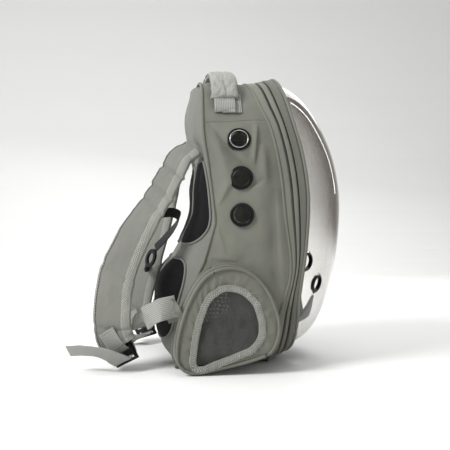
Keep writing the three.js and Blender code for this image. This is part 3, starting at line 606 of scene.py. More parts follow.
# Place on a path's face on the way from corner to corner; a corner is (across, share)
def cornerPlace(path, corners, t):
    s = t * (len(corners) - 1)
    i = min(int(s), len(corners) - 2)
    (a0, t0), (a1, t1) = corners[i], corners[i + 1]
    p, across, face = path(t0 + (t1 - t0) * (s - i))
    return p, across * (a0 + (a1 - a0) * (s - i)), face


# Body walls
# Folds of a side panel, as lines in its side view: start, end, width, height and its steep side,
# on which it falls sharply
leftFolds = [
    ((-35, 331), (-8, 256), 8, 3.6, 0),
    ((-35, 331), (14, 272), 9, -4.6, -1),
    ((29, 324), (24, 280), 5, 3.4, -1),
    ((37, 298), (39, 256), 7, 4.2, 0),
    ((28, 251), (64, 236), 15, 4.0, -1),
    ((20, 246), (36, 254), 4, -2.8, 1),
    ((-8, 249), (-27, 217), 9, 3.4, -1),
    ((50, 232), (58, 112), 12, -4.2, -1),
    ((-30, 205), (-16, 160), 8, 2.2, -1),
    ((-38, 152), (-4, 147), 6, 2.0, 1),
    ((50, 128), (64, 102), 4, -3.6, 0),
    ((-6, 196), (40, 150), 14, -2.2, 0),
]
rightFolds = [
    ((-34, 322), (2, 282), 8, 3.0, 1),
    ((28, 330), (30, 276), 5, 2.2, -1),
    ((14, 244), (52, 262), 6, -2.2, 0),
    ((-20, 236), (-12, 172), 8, 2.0, -1),
    ((44, 225), (60, 150), 9, 2.2, 0),
    ((-30, 150), (8, 150), 6, 1.4, 1),
]


def foldHeight(folds, x, z):
    total = 0
    for (ax, az), (bx, bz), width, rise, steep in folds:
        dx, dz = bx - ax, bz - az
        length = math.hypot(dx, dz)
        s = ((x - ax) * dx + (z - az) * dz) / length ** 2
        if not -0.15 < s < 1.15:
            continue
        d = ((x - ax) * dz - (z - az) * dx) / length
        taper = math.sin(math.pi * min(max((s + 0.15) / 1.3, 0), 1)) ** 0.7
        if steep * d > 0:
            width *= 0.3
        total += rise * taper * math.exp(-(d / width) ** 2)
    return total


wallWidth = 100  # rough distance between the seams of the wall


# Cloth of the wall, lifted by its folds, its unevenness and the puckers of its seams
def clothWall(folds, seed, loose=1.0):
    def place(fraction, across):
        p = sideWall(fraction, across)
        normal = normalAt(sideWall, fraction, min(max(across, 0.004), 0.996))
        free = min(1, 5 * across, 5 * (1 - across))
        lift = ripple(p, 75, 3.0, seed) + ripple(p, 30, 1.4, seed + 5) + ripple(p, 13, 0.45, seed + 9)
        lift += foldHeight(folds, p.x, p.z)
        edge = min(across, 1 - across) * wallWidth
        pucker = 0.5 * noise.noise(Vector((fraction * 260, seed, edge * 0.05))) * math.exp(-edge / 7)
        return p + normal * (lift * free * loose + pucker)

    return place


eyeletCut, ventCut = 12.8, 9.8  # radii of the holes cut for the vents
eyeletPlaces = [(4, 309), (5.6, 257), (7, 208)]
doorOutline = [
    (-77, 14), (-80, 30), (-76, 59), (-63, 97), (-44, 126), (-20, 138), (5, 136), (28, 121),
    (45, 94), (53, 60), (44, 31), (22, 20), (-20, 10), (-60, 4),
]
windowOutline = [
    (-57, 13), (-57, 34), (-49, 73), (-38, 98), (-19, 111), (4, 107), (21, 91), (29, 61), (21, 38),
    (-2, 26), (-28, 17), (-46, 10),
]
doorLoop = evenLoop([Vector((x, 0, z)) for x, z in doorOutline])
windowLoop = evenLoop([Vector((x, 0, z)) for x, z in windowOutline])


# Offset of a side view loop: positive is outwards
def offsetLoop(loop, distance):
    def at(share):
        p = loop(share)
        ahead = (loop(share + 0.01) - loop(share - 0.01)).normalized()
        return p + Vector((-ahead.z, 0, ahead.x)) * distance

    at.length = loop.length
    return at


def insideLoop(points, x, z):
    inside = False
    for (ax, az), (bx, bz) in zip(points, points[1:] + points[:1]):
        if (az > z) != (bz > z) and x < ax + (z - az) / (bz - az) * (bx - ax):
            inside = not inside
    return inside


doorway = [(p.x, p.z) for p in (offsetLoop(doorLoop, -9)(i / 60) for i in range(60))]
wallPieces = [
    {"name": "topPanel", "node": "top_panel", "span": (-topCorner, topCorner), "columns": 130},
    {"name": "bottomPanel", "node": "bottom_panel", "span": (lowCorner, 1 - lowCorner), "columns": 90},
    {"name": "sidePanelLeft", "node": "side_panel_left", "span": (topCorner, lowCorner), "columns": 170,
     "folds": leftFolds, "side": -1},
    {"name": "sidePanelRight", "node": "side_panel_right", "span": (1 - lowCorner, 1 - topCorner),
     "columns": 170, "folds": rightFolds, "side": 1},
]
wallSeed = 14.2  # one for all the walls, so that they meet
for spec in wallPieces:
    low, high = spec["span"]
    surface = clothWall(spec.get("folds", []), wallSeed, loose=0.25 if "bottom" in spec["name"] else 1)
    bm = gridMesh(
        spec["columns"], 90, lambda u, v: surface(low + (high - low) * u, v),
        (backRing.length * (high - low) * mm, 0.1),
    )
    side = spec.get("side")
    if side:
        hidden = []
        centres = [onSideWall(x, z, side)[0] * mm for x, z in eyeletPlaces]
        for vert in bm.verts:
            if any((vert.co - c).length < eyeletCut * mm for c in centres):
                hidden.append(vert)
            elif insideLoop(doorway, vert.co.x / mm, vert.co.z / mm):
                hidden.append(vert)
        bmesh.ops.delete(bm, geom=hidden, context="VERTS")
    makePiece(spec["name"], bm, "cloth", [spec["node"]], away=bagMiddle, thickness=1.6,
              inner="lining")
print("walls made")

# Seams: piping cords with a flange of cloth beside them
pipingCords = [
    {"name": "backPiping", "node": "back_piping", "ring": backRing, "radius": 2.2},
    {"name": "bodyFrontPiping", "node": "body_front_piping", "ring": seamRing, "radius": 2.2},
    {"name": "domePiping", "node": "dome_piping", "ring": rimRing, "radius": 2.1},
]
for spec in pipingCords:
    ring, radius = spec["ring"], spec["radius"]

    def pipingLine(t):
        p = ring(t)
        return Vector((p.x, p.y, max(p.z, radius)))

    bm = cordMesh(pipingLine, ring.length, radius, 420, wobble=0.12)
    makePiece(spec["name"], bm, "piping", [spec["node"]])

# Zip region between the front seam and the dome's rim, in strips with rolled edges
frontWall = makeWall(seamRing, rimRing, 2.0, 1.6, 0)
strips = [
    {"name": "zipFlapBack", "node": "zipper_band", "span": (-0.05, 0.3), "look": "cloth", "crown": 1.7},
    {"name": "zipFlapFront", "node": "zipper_band", "span": (0.37, 0.6), "look": "cloth", "crown": 1.6},
    {"name": "domeFrame", "node": "dome_frame", "span": (0.65, 0.99), "look": "shadedFrameCloth", "crown": 2.0},
]


def stripSurface(span, crown, seed):
    def place(fraction, across):
        v = span[0] + (span[1] - span[0]) * across
        p = frontWall(fraction, v)
        normal = normalAt(frontWall, fraction, v)
        rolled = 1 - abs(2 * across - 1) ** 5
        return p + normal * (crown * rolled - 0.9 + ripple(p, 16, 0.35, seed))

    return place


for i, spec in enumerate(strips):
    surface = stripSurface(spec["span"], spec["crown"], i * 3.1)
    bm = gridMesh(420, 12, surface, (seamRing.length * mm, 0.009), wrapU=True)
    makePiece(spec["name"], bm, spec["look"], [spec["node"]], away=bagMiddle, thickness=1.0)


# Tape of the zip, sunk under the flaps; near black, darker than the coil, as painted shade in the zip's
# grooves
def tapePlace(u, v):
    across = 0.24 + 0.46 * v
    return frontWall(u, across) - normalAt(frontWall, u, across) * 1.6


tapeShade = gridMesh(240, 4, tapePlace, (seamRing.length * mm, 0.012), wrapU=True)
makePiece("zipTapeGrooveShade", tapeShade, "tapeShade", away=bagMiddle, thickness=0.6)


# Zip coil: short bars across a line, side by side
def coilMesh(line, length, across, up):
    pitch, reach, radius = 1.6, 3.4, 0.55
    bm = bmesh.new()
    count = int(length / pitch)
    for i in range(count):
        t = i / count
        p, side, rise = line(t), across(t).normalized(), up(t).normalized()
        ahead = side.cross(rise)
        made = bmesh.ops.create_cone(
            bm, cap_ends=True, segments=6, radius1=radius, radius2=radius, depth=reach,
        )
        for vert in made["verts"]:
            c = vert.co.copy()
            vert.co = (p + side * c.z + rise * c.y + ahead * c.x) * mm
    return bm


zipLine = 0.335  # where the coil lies, as a share of the way across the front wall
bm = coilMesh(
    lambda t: frontWall(t, zipLine) - normalAt(frontWall, t, zipLine) * 0.7,
    (seamRing.length + rimRing.length) / 2,
    lambda t: frontWall(t, 0.4) - frontWall(t, 0.3), lambda t: normalAt(frontWall, t, zipLine),
)
makePiece("mainZipCoil", bm, "coil")
for name, v in (("frameStitches", 0.7), ("flapStitches", 0.55)):
    crown = 1.0 if name == "frameStitches" else 0.6
    bm = stitchMesh(lambda t: frontWall(t, v) + normalAt(frontWall, t, v) * crown, seamRing.length,
                    lambda t: normalAt(frontWall, t, v))
    makePiece(name, bm, "piping")
print("zip region made")

# Dome
domeMiddle = (rimShape["low"] + rimShape["high"]) / 2


def domePlace(fraction, angle):
    p = rimRing(fraction)
    length = math.hypot(p.y, p.z - domeMiddle)
    share = (1 - (domeInset + 0.2) / length) * max(0, math.cos(angle)) ** 0.645
    y, z = p.y * share, domeMiddle + (p.z - domeMiddle) * share
    return Vector((domeFace(y, z), y, z))


ventPlaces = [(131, 145), (101, 113)]
vents = []
for y, z in ventPlaces:
    for side in (-1, 1):
        at = lambda u, v: Vector((domeFace(u, v), u, v))
        across = at(side * y + 1, z) - at(side * y - 1, z)
        up = at(side * y, z + 1) - at(side * y, z - 1)
        vents.append((at(side * y, z), across.cross(up).normalized()))

bm = gridMesh(320, 80, lambda u, v: domePlace(u, math.radians(1 + 89 * v)), wrapU=True)
bmesh.ops.remove_doubles(bm, verts=bm.verts, dist=2e-5)
hidden = [v for v in bm.verts if any((v.co - place * mm).length < ventCut * mm for place, _ in vents)]
bmesh.ops.delete(bm, geom=hidden, context="VERTS")
makePiece("dome", bm, "clear", ["dome"], away=(60, 0, 210), thickness=1.4)


# Ring turned about its own axis from a half section of (radius, height) points
def turnedMesh(section, direction, place):
    bm = bmesh.new()
    verts = [bm.verts.new((r * mm, 0, h * mm)) for r, h in section]
    edges = [bm.edges.new((a, b)) for a, b in zip(verts, verts[1:] + verts[:1])]
    bmesh.ops.spin(
        bm, geom=verts + edges, axis=(0, 0, 1), cent=(0, 0, 0), steps=56, angle=2 * math.pi,
        use_merge=True,
    )
    bmesh.ops.remove_doubles(bm, verts=bm.verts, dist=1e-6)
    turn = direction.to_track_quat("Z", "Y").to_matrix().to_4x4()
    bmesh.ops.transform(bm, matrix=turn, verts=bm.verts)
    bmesh.ops.translate(bm, vec=place * mm, verts=bm.verts)
    return bm


def grommetSection(hole, flange, wall, rise):
    low = -wall - 0.6
    return [
        (hole, low - rise), (flange - 0.6, low - rise), (flange, low - rise * 0.4), (flange, low),
        (hole + 1.2, low), (hole + 1.2, 0.1), (flange, 0.1), (flange, rise * 0.55),
        (flange - 0.5, rise * 0.9), (flange - 1.2, rise), (hole + 1.9, rise * 0.8),
        (hole + 1.5, rise * 0.62), (hole + 1.3, rise * 1.1), (hole + 0.8, rise * 1.35),
        (hole + 0.2, rise * 1.25), (hole, rise * 0.8),
    ]


for i, (place, direction) in enumerate(vents):
    bm = turnedMesh(grommetSection(9.6, 12.6, 1.6, 1.5), direction, place)
    makePiece(f"domeVentRing{i + 1}", bm, "plastic", [f"dome_vent_ring_{i + 1}"])
for side, label in ((-1, "left"), (1, "right")):
    for i, (x, z) in enumerate(eyeletPlaces):
        place, direction = onSideWall(x, z, side)
        bm = turnedMesh(grommetSection(11, 16, 2.6, 1.8), direction, place + direction * 0.5)
        ending = f"{label.title()}{i + 1}"
        makePiece(f"sideEyelet{ending}", bm, "plastic", [f"side_eyelet_{label}_{i + 1}"])
        turns = [k * math.pi / 4 for k in range(8)]
        rim = [(12.1 + 0.45 * math.cos(a), 2.75 + 0.4 * math.sin(a)) for a in turns]
        look = "rim" if i == 0 else "plastic"  # the top eyelet's ring is bright metal as a painted highlight; the lower ones are black plastic
        makePiece(f"eyeletEdge{ending}", turnedMesh(rim, direction, place), look)
print("dome and vents made")

# Side doors: a flared wall out from the side panel, a cloth face with a bound net window

# Depth of the side wall at a door's place, eased inwards beyond the wall's own edge
def wallDepth(x, z, side):
    place, _ = onSideWall(x, z, side)
    missed = math.hypot(place.x - x, place.z - z)
    return abs(place.y) - 1 if missed < 4 else max(84, abs(place.y) - 1 - 6 * (missed - 4))


def doorFaceRise(x, z, seed):
    p = Vector((x, seed * 40, z))
    return ripple(p, 30, 2.0, seed) + ripple(p, 11, 0.9, seed + 3)


for side, label in ((-1, "Left"), (1, "Right")):
    lower = label.lower()
    seed = 2.0 if side < 0 else 6.5
    count = 120
    depths = [wallDepth(doorLoop(i / count).x, doorLoop(i / count).z, side) for i in range(count)]
    depths = [sum(depths[(i + k) % count] for k in (-1, 0, 1)) / 3 for i in range(count)]

    def baseDepth(u):
        s = (u % 1.0) * count
        i = int(s)
        return depths[i % count] * (1 - s + i) + depths[(i + 1) % count] * (s - i)

    # the wall flares to its base seam where it meets the side panel
    def gusset(u, v):
        p = offsetLoop(doorLoop, 4.6 * (1 - v) ** 1.5)(u)
        near = baseDepth(u)
        y = near + (doorFace - 2.2 - near) * v
        return Vector((p.x, side * y, max(p.z, 1.5)))

    bm = gridMesh(140, 16, gusset, (doorLoop.length * mm, 0.03), wrapU=True)
    makePiece(f"doorGusset{label}", bm, "cloth", [f"door_gusset_{lower}"],
              away=(-10, side * 130, 70), thickness=1.4)
    bm = cordMesh(lambda t: gusset(t, 0.04), doorLoop.length, 1.9, 140, wobble=0.15)
    makePiece(f"doorBasePiping{label}", bm, "piping")
    bm = coilMesh(lambda t: gusset(t, 0.5), doorLoop.length, lambda t: gusset(t, 0.6) - gusset(t, 0.4),
                  lambda t: offsetLoop(doorLoop, 1)(t) - doorLoop(t))
    makePiece(f"doorZipCoil{label}", bm, "coil")

    def pipingAt(t):
        p = doorLoop(t)
        return Vector((p.x, side * (doorFace - 0.1), p.z))

    bm = cordMesh(pipingAt, doorLoop.length, 2.2, 160, wobble=0.15)
    makePiece(f"doorPiping{label}", bm, "piping", [f"door_piping_{lower}"])

    # cloth face between the piping and the window, puckered at the binding
    def facePlace(u, v):
        inner, outer = windowLoop(u), offsetLoop(doorLoop, -1.4)(u)
        p = inner.lerp(outer, v)
        pucker = 2.0 * noise.noise(Vector((u * 55, seed, v * 1.5))) * (1 - v) ** 0.7
        crown = 1.4 * math.sin(math.pi * v)
        rise = crown + doorFaceRise(p.x, p.z, seed) * min(1, 4 * (1 - v)) + pucker
        return Vector((p.x, side * (doorFace - 1.2 + rise), p.z))

    bm = gridMesh(260, 22, facePlace, (doorLoop.length * mm, 0.03), wrapU=True)
    makePiece(f"doorFace{label}", bm, "cloth", [f"door_panel_{lower}"],
              away=(-10, 0, 70), thickness=1.4, inner="lining")

    # knitted binding folded over the window's edge
    def bindingPlace(u, v):
        angle = 2 * math.pi * u
        c, s = math.cos(angle), math.sin(angle)
        wave = ripple(windowLoop(v), 8, 1.0, seed + 1)
        p = offsetLoop(windowLoop, 1.5 + wave + (4.6 + 0.5 * wave) * math.copysign(abs(c) ** 0.6, c))(v)
        rise = doorFaceRise(p.x, p.z, seed) + 1.0 * noise.noise(Vector((v * 90, c * 1.2, seed)))
        return Vector((p.x, side * (doorFace + 0.1 + rise + 1.5 * math.copysign(abs(s) ** 0.6, s)), p.z))

    bm = gridMesh(18, 300, bindingPlace, (0.02, windowLoop.length * mm), wrapU=True, wrapV=True)
    makePiece(f"windowBinding{label}", bm, "binding")
    bm = stitchMesh(lambda t: bindingPlace(0.07, t) + Vector((0, side * 0.9, 0)), windowLoop.length,
                    lambda t: Vector((0, side, 0)), pitch=3.4, stitch=2.2)
    makePiece(f"windowStitches{label}", bm, "thread")

    # net: strands of a grid that is cut to the window
    def netSag(x, z):
        return doorFaceRise(x, z, seed + 8) * 1.6 - 1.6

    edge = [(p.x, p.z) for p in (offsetLoop(windowLoop, 1.5)(i / 80) for i in range(80))]
    bm = gridMesh(60, 70, lambda u, v: Vector((-62 + 96 * u + 1.2 * math.sin(v * 9), 0, 4 + 112 * v)))
    outside = [v for v in bm.verts if not insideLoop(edge, v.co.x / mm, v.co.z / mm)]
    bmesh.ops.delete(bm, geom=outside, context="VERTS")
    for vert in bm.verts:
        vert.co.y = side * (doorFace - 1.5 + netSag(vert.co.x / mm, vert.co.z / mm)) * mm
    net = makePiece(f"windowNet{label}", bm, "net", [f"door_mesh_{lower}"],
                    away=(-10, 0, 70))
    strands = net.modifiers.new("strands", "WIREFRAME")
    strands.thickness = 1.1 * mm
    strands.use_boundary = True
print("doors made")

# Padded back
backSize = (0.24, 0.42)  # width and height of the cloth, in metres


def backPlace(y, z, lift):
    quilt = ripple(Vector((0, y, z)), 34, 1.4, 4) + ripple(Vector((0, y, z)), 12, 0.4, 7)
    return Vector((padFace(y, z) - lift - quilt * min(1, 6 * (1 - abs(y) / backHalf(z, 3))), y, z))


def padPlace(u, v):
    z = 6 + 388 * v
    return backPlace((2 * u - 1) * backHalf(z, 3), z, 0)


def panelPlace(u, v):
    z = 3 + 394 * v
    return Vector((along(backProfile, z) + 1, (2 * u - 1) * backHalf(z, 1), z))


bm = gridMesh(80, 130, padPlace, backSize)
makePiece("backPad", bm, "pad", ["back_pad"], away=bagMiddle, thickness=2)
bm = gridMesh(40, 70, panelPlace, backSize)
makePiece("backPanel", bm, "lining", ["back_panel"], away=(400, 0, 200), thickness=1.5)
meshPads = [
    {"name": "backMeshUpper", "node": "back_mesh_upper", "low": 168, "high": 284, "near": 14,
     "far": 119, "rise": 5},
    {"name": "lumbarMesh", "node": "lumbar_mesh", "low": 38, "high": 148, "near": 14, "far": 114,
     "rise": 6},
]
for spec in meshPads:
    for side, label in ((-1, "Left"), (1, "Right")):
        middleY, middleZ = (spec["near"] + spec["far"]) / 2, (spec["low"] + spec["high"]) / 2
        halfY, halfZ = (spec["far"] - spec["near"]) / 2, (spec["high"] - spec["low"]) / 2

        def padAt(angle, share):
            c, s = math.cos(angle), math.sin(angle)
            y = middleY + halfY * share * math.copysign(abs(c) ** 0.55, c)
            z = middleZ + halfZ * share * math.copysign(abs(s) ** 0.55, s)
            return side * y, z

        def padSurface(u, v):
            y, z = padAt(2 * math.pi * u, v)
            return backPlace(y, z, spec["rise"] * (1 - v ** 4) ** 0.6 + 0.6)

        bm = gridMesh(72, 22, padSurface, (0.3, 0.05), wrapU=True)
        bmesh.ops.remove_doubles(bm, verts=bm.verts, dist=1e-5)
        layer = bm.loops.layers.uv.active
        for face in bm.faces:
            for loop in face.loops:
                loop[layer].uv = (loop.vert.co.y, loop.vert.co.z)
        makePiece(spec["name"] + label, bm, "airMesh", [f"{spec['node']}_{label.lower()}"],
                  away=(100, 0, 200), thickness=1.5)
        bm = cordMesh(lambda t: padSurface(t, 1.0) - Vector((0.8, 0, 0)), 340, 1.7, 120)
        makePiece(spec["name"] + "Edge" + label, bm, "pad")
print("back made")

# Handle: a crumpled sleeve over webbing whose ends are sewn to the side panels
handleArch = [(0, 414), (36, 412.5), (62, 406), (84, 394), (97.5, 380.5), (105.4, 368.6)]
handleX = -12
archPoints = [Vector((handleX, -y, z)) for y, z in handleArch[:0:-1]]
archPoints += [Vector((handleX, y, z)) for y, z in handleArch]
handlePath = makePath(archPoints, [Vector((-1, 0, 0))] * len(archPoints))


def sleeveBend(a, b, t):
    out = 1 if b > 0 else 0.3
    end = min(t, 1 - t) * handlePath.length
    fold = 1.5 * noise.noise(Vector((a / 7, t * 14, 3))) + 0.7 * noise.noise(Vector((a / 3.2, t * 40, 9)))
    seam = -1.3 * math.exp(-((a + 1 + 1.2 * math.sin(t * 25)) / 0.9) ** 2)
    flare = 1 + 0.07 * math.exp(-end / 6)
    crumple = 1 + 0.035 * math.sin(t * 60 + a * 0.1) * math.exp(-end / 30)
    return a * flare * crumple, b * (1 - 0.1 * math.exp(-end / 5)) + out * (fold + seam)


bm = bandMesh(handlePath, 38, 11, 190, columns=88, power=3.2, bend=sleeveBend)
makePiece("handleSleeve", bm, "handleCloth", ["handle_grip"])
for side, label in ((-1, "Left"), (1, "Right")):
    for name, a in (("Back", -18.2), ("Front", 18.2)):
        def edgeLine(t):
            p, across, face = handlePath(0.5 + side * (0.02 + 0.47 * t))
            return p + across * a + face * 1.0

        bm = cordMesh(edgeLine, 130, 1.0, 60, closed=False, wobble=0.2)
        makePiece(f"handleEdge{name}{label}", bm, "piping")
    # webbing out of the sleeve, curled under and sewn to the panel beside the curl
    def onWall(x, z, off):
        place, way = onSideWall(x, z, side)
        return place + way * off

    tail = [Vector((-13, side * y, z)) for y, z in ((93, 384), (101.5, 373), (109, 364.5))]
    tail += [onWall(-13, 357, 6.5), onWall(-13, 350.5, 5.5), onWall(-13, 348, 2.5), onWall(-12, 351, 1.2)]
    tailPath = makePath(tail, [Vector((1, 0, 0))] * len(tail))
    bm = bandMesh(tailPath, 29, 1.9, 70, columns=36, power=6)
    makePiece(f"handleWebbing{label}", bm, "webbing", [f"handle_webbing_{label.lower()}"])
    sewn = [onWall(-3, z, 1.3) for z in (374, 367, 360, 353, 346)]
    tailPath = makePath(sewn, [Vector((1, 0, 0))] * len(sewn))
    bm = bandMesh(tailPath, 27, 1.5, 40, columns=36, power=6)
    makePiece(f"handlePatch{label}", bm, "webbing")

    def boxStitch(t):
        corners = [(-11, 0.06), (11, 0.06), (11, 0.94), (-11, 0.94)]
        corners += [(-11, 0.06), (11, 0.94), (11, 0.06), (-11, 0.94)]
        p, across, face = cornerPlace(tailPath, corners, t)
        away = face if face.dot(p - Vector(bagMiddle)) > 0 else -face
        return p + across + away

    bm = stitchMesh(boxStitch, 130, lambda t: Vector((0, side * 0.9, 0.45)), pitch=2.6, stitch=1.7,
                    radius=0.32)
    makePiece(f"handleStitches{label}", bm, "thread")
print("handle made")


# Moulded piece of the frame, kept and given rounded edges
def roundPlastic(piece, width):
    piece.data.materials.clear()
    piece.data.materials.append(materials["plastic"])
    rounded = piece.modifiers.new("rounded", "BEVEL")
    rounded.width = width * mm
    rounded.segments = 3
    rounded.limit_method = "ANGLE"
    for face in piece.data.polygons:
        face.use_smooth = True


# Shoulder straps
leftStrapLine = [
    (-53, -75, 302, 24), (-70, -76, 290, 30), (-83, -79, 269, 32), (-92, -82, 252, 34),
    (-103, -85, 232, 36), (-116, -89, 212, 38), (-131, -94, 188, 45), (-147, -99, 157, 50),
    (-159, -103, 125, 54), (-164, -106, 92, 56), (-165, -108, 62, 58), (-161, -109, 43, 58),
    (-155, -110, 32, 58),
]
rightStrapLine = [
    (-53, 75, 303, 0), (-67, 76, 284, 8), (-78, 80, 252, 18), (-89, 85, 215, 26),
    (-100, 90, 180, 34), (-111, 95, 148, 40), (-121, 99, 115, 45), (-130, 102, 85, 48),
    (-134, 104, 60, 50), (-131, 105, 43, 50), (-126, 106, 33, 50),
]
strapWidth, strapThick = 58, 12


# Path of a strap whose face points away from the bag's back
def strapPath(rows):
    points = [Vector(row[:3]) for row in rows]
    wishes = []
    for i, row in enumerate(rows):
        ahead = (points[min(i + 1, len(points) - 1)] - points[max(i - 1, 0)]).normalized()
        inPlane = Vector((-ahead.z, 0, ahead.x)).normalized()
        if inPlane.x < 0:
            inPlane = -inPlane
        turn = math.radians(row[3])
        wishes.append(inPlane * math.sin(turn) + Vector((0, -math.cos(turn), 0)))
    return makePath(points, wishes)


lockRoute = [(-26, 19), (-8, 11), (3.5, 7), (5.5, 3.2), (5.5, -3.2), (5.8, -7), (6, -12)]
webbingRoutes = {
    "Left": {
        "fromTab": [(-80, -136.6, 88), (-102, -138, 83), (-119, -124, 72), (-129, -99, 57)],
        "tail": [(-166, -128, 22), (-184, -123, 27), (-203, -118, 28.5), (-222, -115, 28)],
    },
    "Right": {
        "fromTab": [(-80, 136.6, 88), (-99, 136.6, 78), (-107, 126, 62)],
        "tail": [(-132, 89.5, 10.5), (-148, 88, 11.5), (-166, 91, 13)],
    },
}
strapSpecs = [
    {"label": "Left", "rows": leftStrapLine, "seed": 1.0,
     "kinks": [(0.17, 2.6), (0.3, 2.2), (0.38, 1.8), (0.66, 2.0), (0.86, 1.4)]},
    {"label": "Right", "rows": rightStrapLine, "seed": 7.0,
     "kinks": [(0.25, 2.2), (0.5, 2.0), (0.8, 1.6)]},
]
for spec in strapSpecs:
    label, seed, kinks = spec["label"], spec["seed"], spec["kinks"]
    lower = label.lower()
    path = strapPath(spec["rows"])
    outward = -1 if path(0.5)[2].x > 0 else 1  # the outer face lies towards -X

    def strapBend(a, b, t):
        share = abs(a) / (strapWidth / 2)
        thin = 1 - 0.5 * share ** 5
        wave = 1.7 * noise.noise(Vector((a / 24, t * 15, seed)))
        wave += 0.6 * noise.noise(Vector((a / 8, t * 45, seed)))
        for at, depth in kinks:
            skew = (t - at) * path.length - 0.25 * a
            wave -= depth * math.exp(-(skew / 3.5) ** 2)
        return a, b * thin + outward * wave * (1 if b * outward > 0 else 0.5)

    bm = bandMesh(path, strapWidth, strapThick, 240, columns=84, power=5, bend=strapBend)
    makePiece(f"shoulderStrap{label}", bm, "pad", [f"shoulder_strap_{lower}"])

    # binding folded over both edges, wide on the bag's side
    for name, edge, wide in (("Bag", 1, 10.5), ("Outer", -1, 5)):
        def bindingPlace(u, v):
            p, across, face = path(0.004 + 0.992 * v)
            half = strapWidth / 2
            profile = [
                (half - wide, 0.53), (half - 3, 0.44), (half + 0.6, 0.2), (half + 0.9, -0.1),
                (half - 3, -0.42), (half - 9, -0.52),
            ]
            s = u * (len(profile) - 1)
            i = min(int(s), len(profile) - 2)
            a = profile[i][0] + (profile[i + 1][0] - profile[i][0]) * (s - i)
            b = profile[i][1] + (profile[i + 1][1] - profile[i][1]) * (s - i)
            a, b = strapBend(a * edge, b * strapThick * outward, v)
            b += 0.8 * outward * (1 if u < 0.5 else -1)
            b += 0.35 * noise.noise(Vector((v * 130, u * 4, seed + edge)))
            return p + across * a + face * b

        bm = gridMesh(20, 260, bindingPlace, (0.03, path.length * mm))
        makePiece(f"strapBinding{name}{label}", bm, "binding", away=tuple(path(0.5)[0]),
                  thickness=0.9)
        bm = stitchMesh(lambda t: bindingPlace(0.06, t), path.length,
                        lambda t: path(t)[2] * outward, pitch=3.6, stitch=2.3)
        makePiece(f"strapStitches{name}{label}", bm, "thread")

    def liningPlace(u, v):
        p, across, face = path(0.01 + 0.98 * v)
        a = (u - 0.5) * 42
        bulge = 1.3 * (1 - (2 * u - 1) ** 4)
        a, b = strapBend(a, -outward * (strapThick / 2 + bulge), v)
        return p + across * a + face * b

    bm = gridMesh(26, 200, liningPlace, (0.042, path.length * mm))
    makePiece(f"strapMesh{label}", bm, "airMesh", away=tuple(path(0.5)[0]), thickness=0.8)

    # webbing loop that holds the lock, sewn on the strap's lower end
    end, endAcross, endFace = path(1)
    down = (path(1)[0] - path(0.985)[0]).normalized()
    outer = endFace * outward
    loopSection = [
        (-27, 7.4), (-16, 7.5), (-5, 7.0), (2, 4.6), (6.4, 2.0), (7.4, 0), (6.0, -2.2), (1, -4.6),
        (-6, -7.0),
    ]
    loopPoints = [end + down * d + outer * o for d, o in loopSection]
    loopPath = makePath(loopPoints, [endAcross] * len(loopPoints))
    bm = bandMesh(loopPath, 27, 1.8, 70, columns=36, power=6)
    makePiece(f"strapPatch{label}", bm, "webbing", [f"strap_patch_{lower}"])

    def patchStitch(t):
        corners = [(-11.5, 0.03), (11.5, 0.03), (11.5, 0.32), (-11.5, 0.32), (-11.5, 0.03)]
        p, across, _ = cornerPlace(loopPath, corners, t)
        return p + across + outer

    bm = stitchMesh(patchStitch, 95, lambda t: outer, pitch=2.8, stitch=1.8, radius=0.32)
    makePiece(f"patchStitches{label}", bm, "thread")

    # webbing from the tab, behind the strap, through the lock to its loose tail
    buckle = end + down * 12.6
    route = webbingRoutes[label]
    turned = endAcross if endAcross.dot(Vector((0, 0.82, -0.57))) > 0 else -endAcross
    flat, crosswise, hanging = Vector((-0.45, 0, -0.9)), Vector((0, 0.95, -0.3)), Vector((0, 0.82, -0.57))
    count = len(route["fromTab"])
    points = [Vector(p) for p in route["fromTab"]]
    wishes = [flat.lerp(crosswise, max(0, i - 1) / (count - 2)) for i in range(count)]
    for i, (d, behind) in enumerate(lockRoute):
        points.append(buckle + down * d - outer * behind)
        wishes.append(crosswise.lerp(turned, 0.15 if i == 0 else 1))
    for i, p in enumerate(route["tail"]):
        points.append(Vector(p))
        wishes.append(turned.lerp(hanging, min(1, (i + 1) / 2)))
    webPath = makePath(points, wishes)
    bm = bandMesh(webPath, 30, 1.8, 260, columns=36, power=6,
                  bend=lambda a, b, t: (a, b + 0.5 * noise.noise(Vector((a / 15, t * 22, seed)))))
    makePiece(f"strapWebbing{label}", bm, "webbing", [f"strap_webbing_{lower}"])

    roundPlastic(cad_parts[f"ladder_lock_{lower}"], 0.9)

    # tab of folded cloth in the back seam that the webbing is sewn to
    side = -1 if label == "Left" else 1
    tabRows = [(-77, 130.5, 68), (-86, 133.5, 81), (-94, 134.6, 92)]
    tabPath = makePath([Vector((x, side * y, z)) for x, y, z in tabRows], [Vector((0.7, 0, -0.7))] * 3)

    def tabBend(a, b, t):
        return a * (1.25 - 0.45 * t), b + 0.5 * noise.noise(Vector((a / 8, t * 6, seed)))

    bm = bandMesh(tabPath, 30, 2.4, 30, columns=28, power=6, bend=tabBend)
    makePiece(f"anchorTab{label}", bm, "cloth", [f"anchor_tab_{lower}"])
print("straps made")

# Chest strap, its oval buckle and its short end
nearPath, farPath = strapPath(leftStrapLine), strapPath(rightStrapLine)


def strapSeat(path, stations, down, across, off):
    p, side, face = path(down / (stations - 1))
    return p + side * across + (face if face.x > 0 else -face) * off


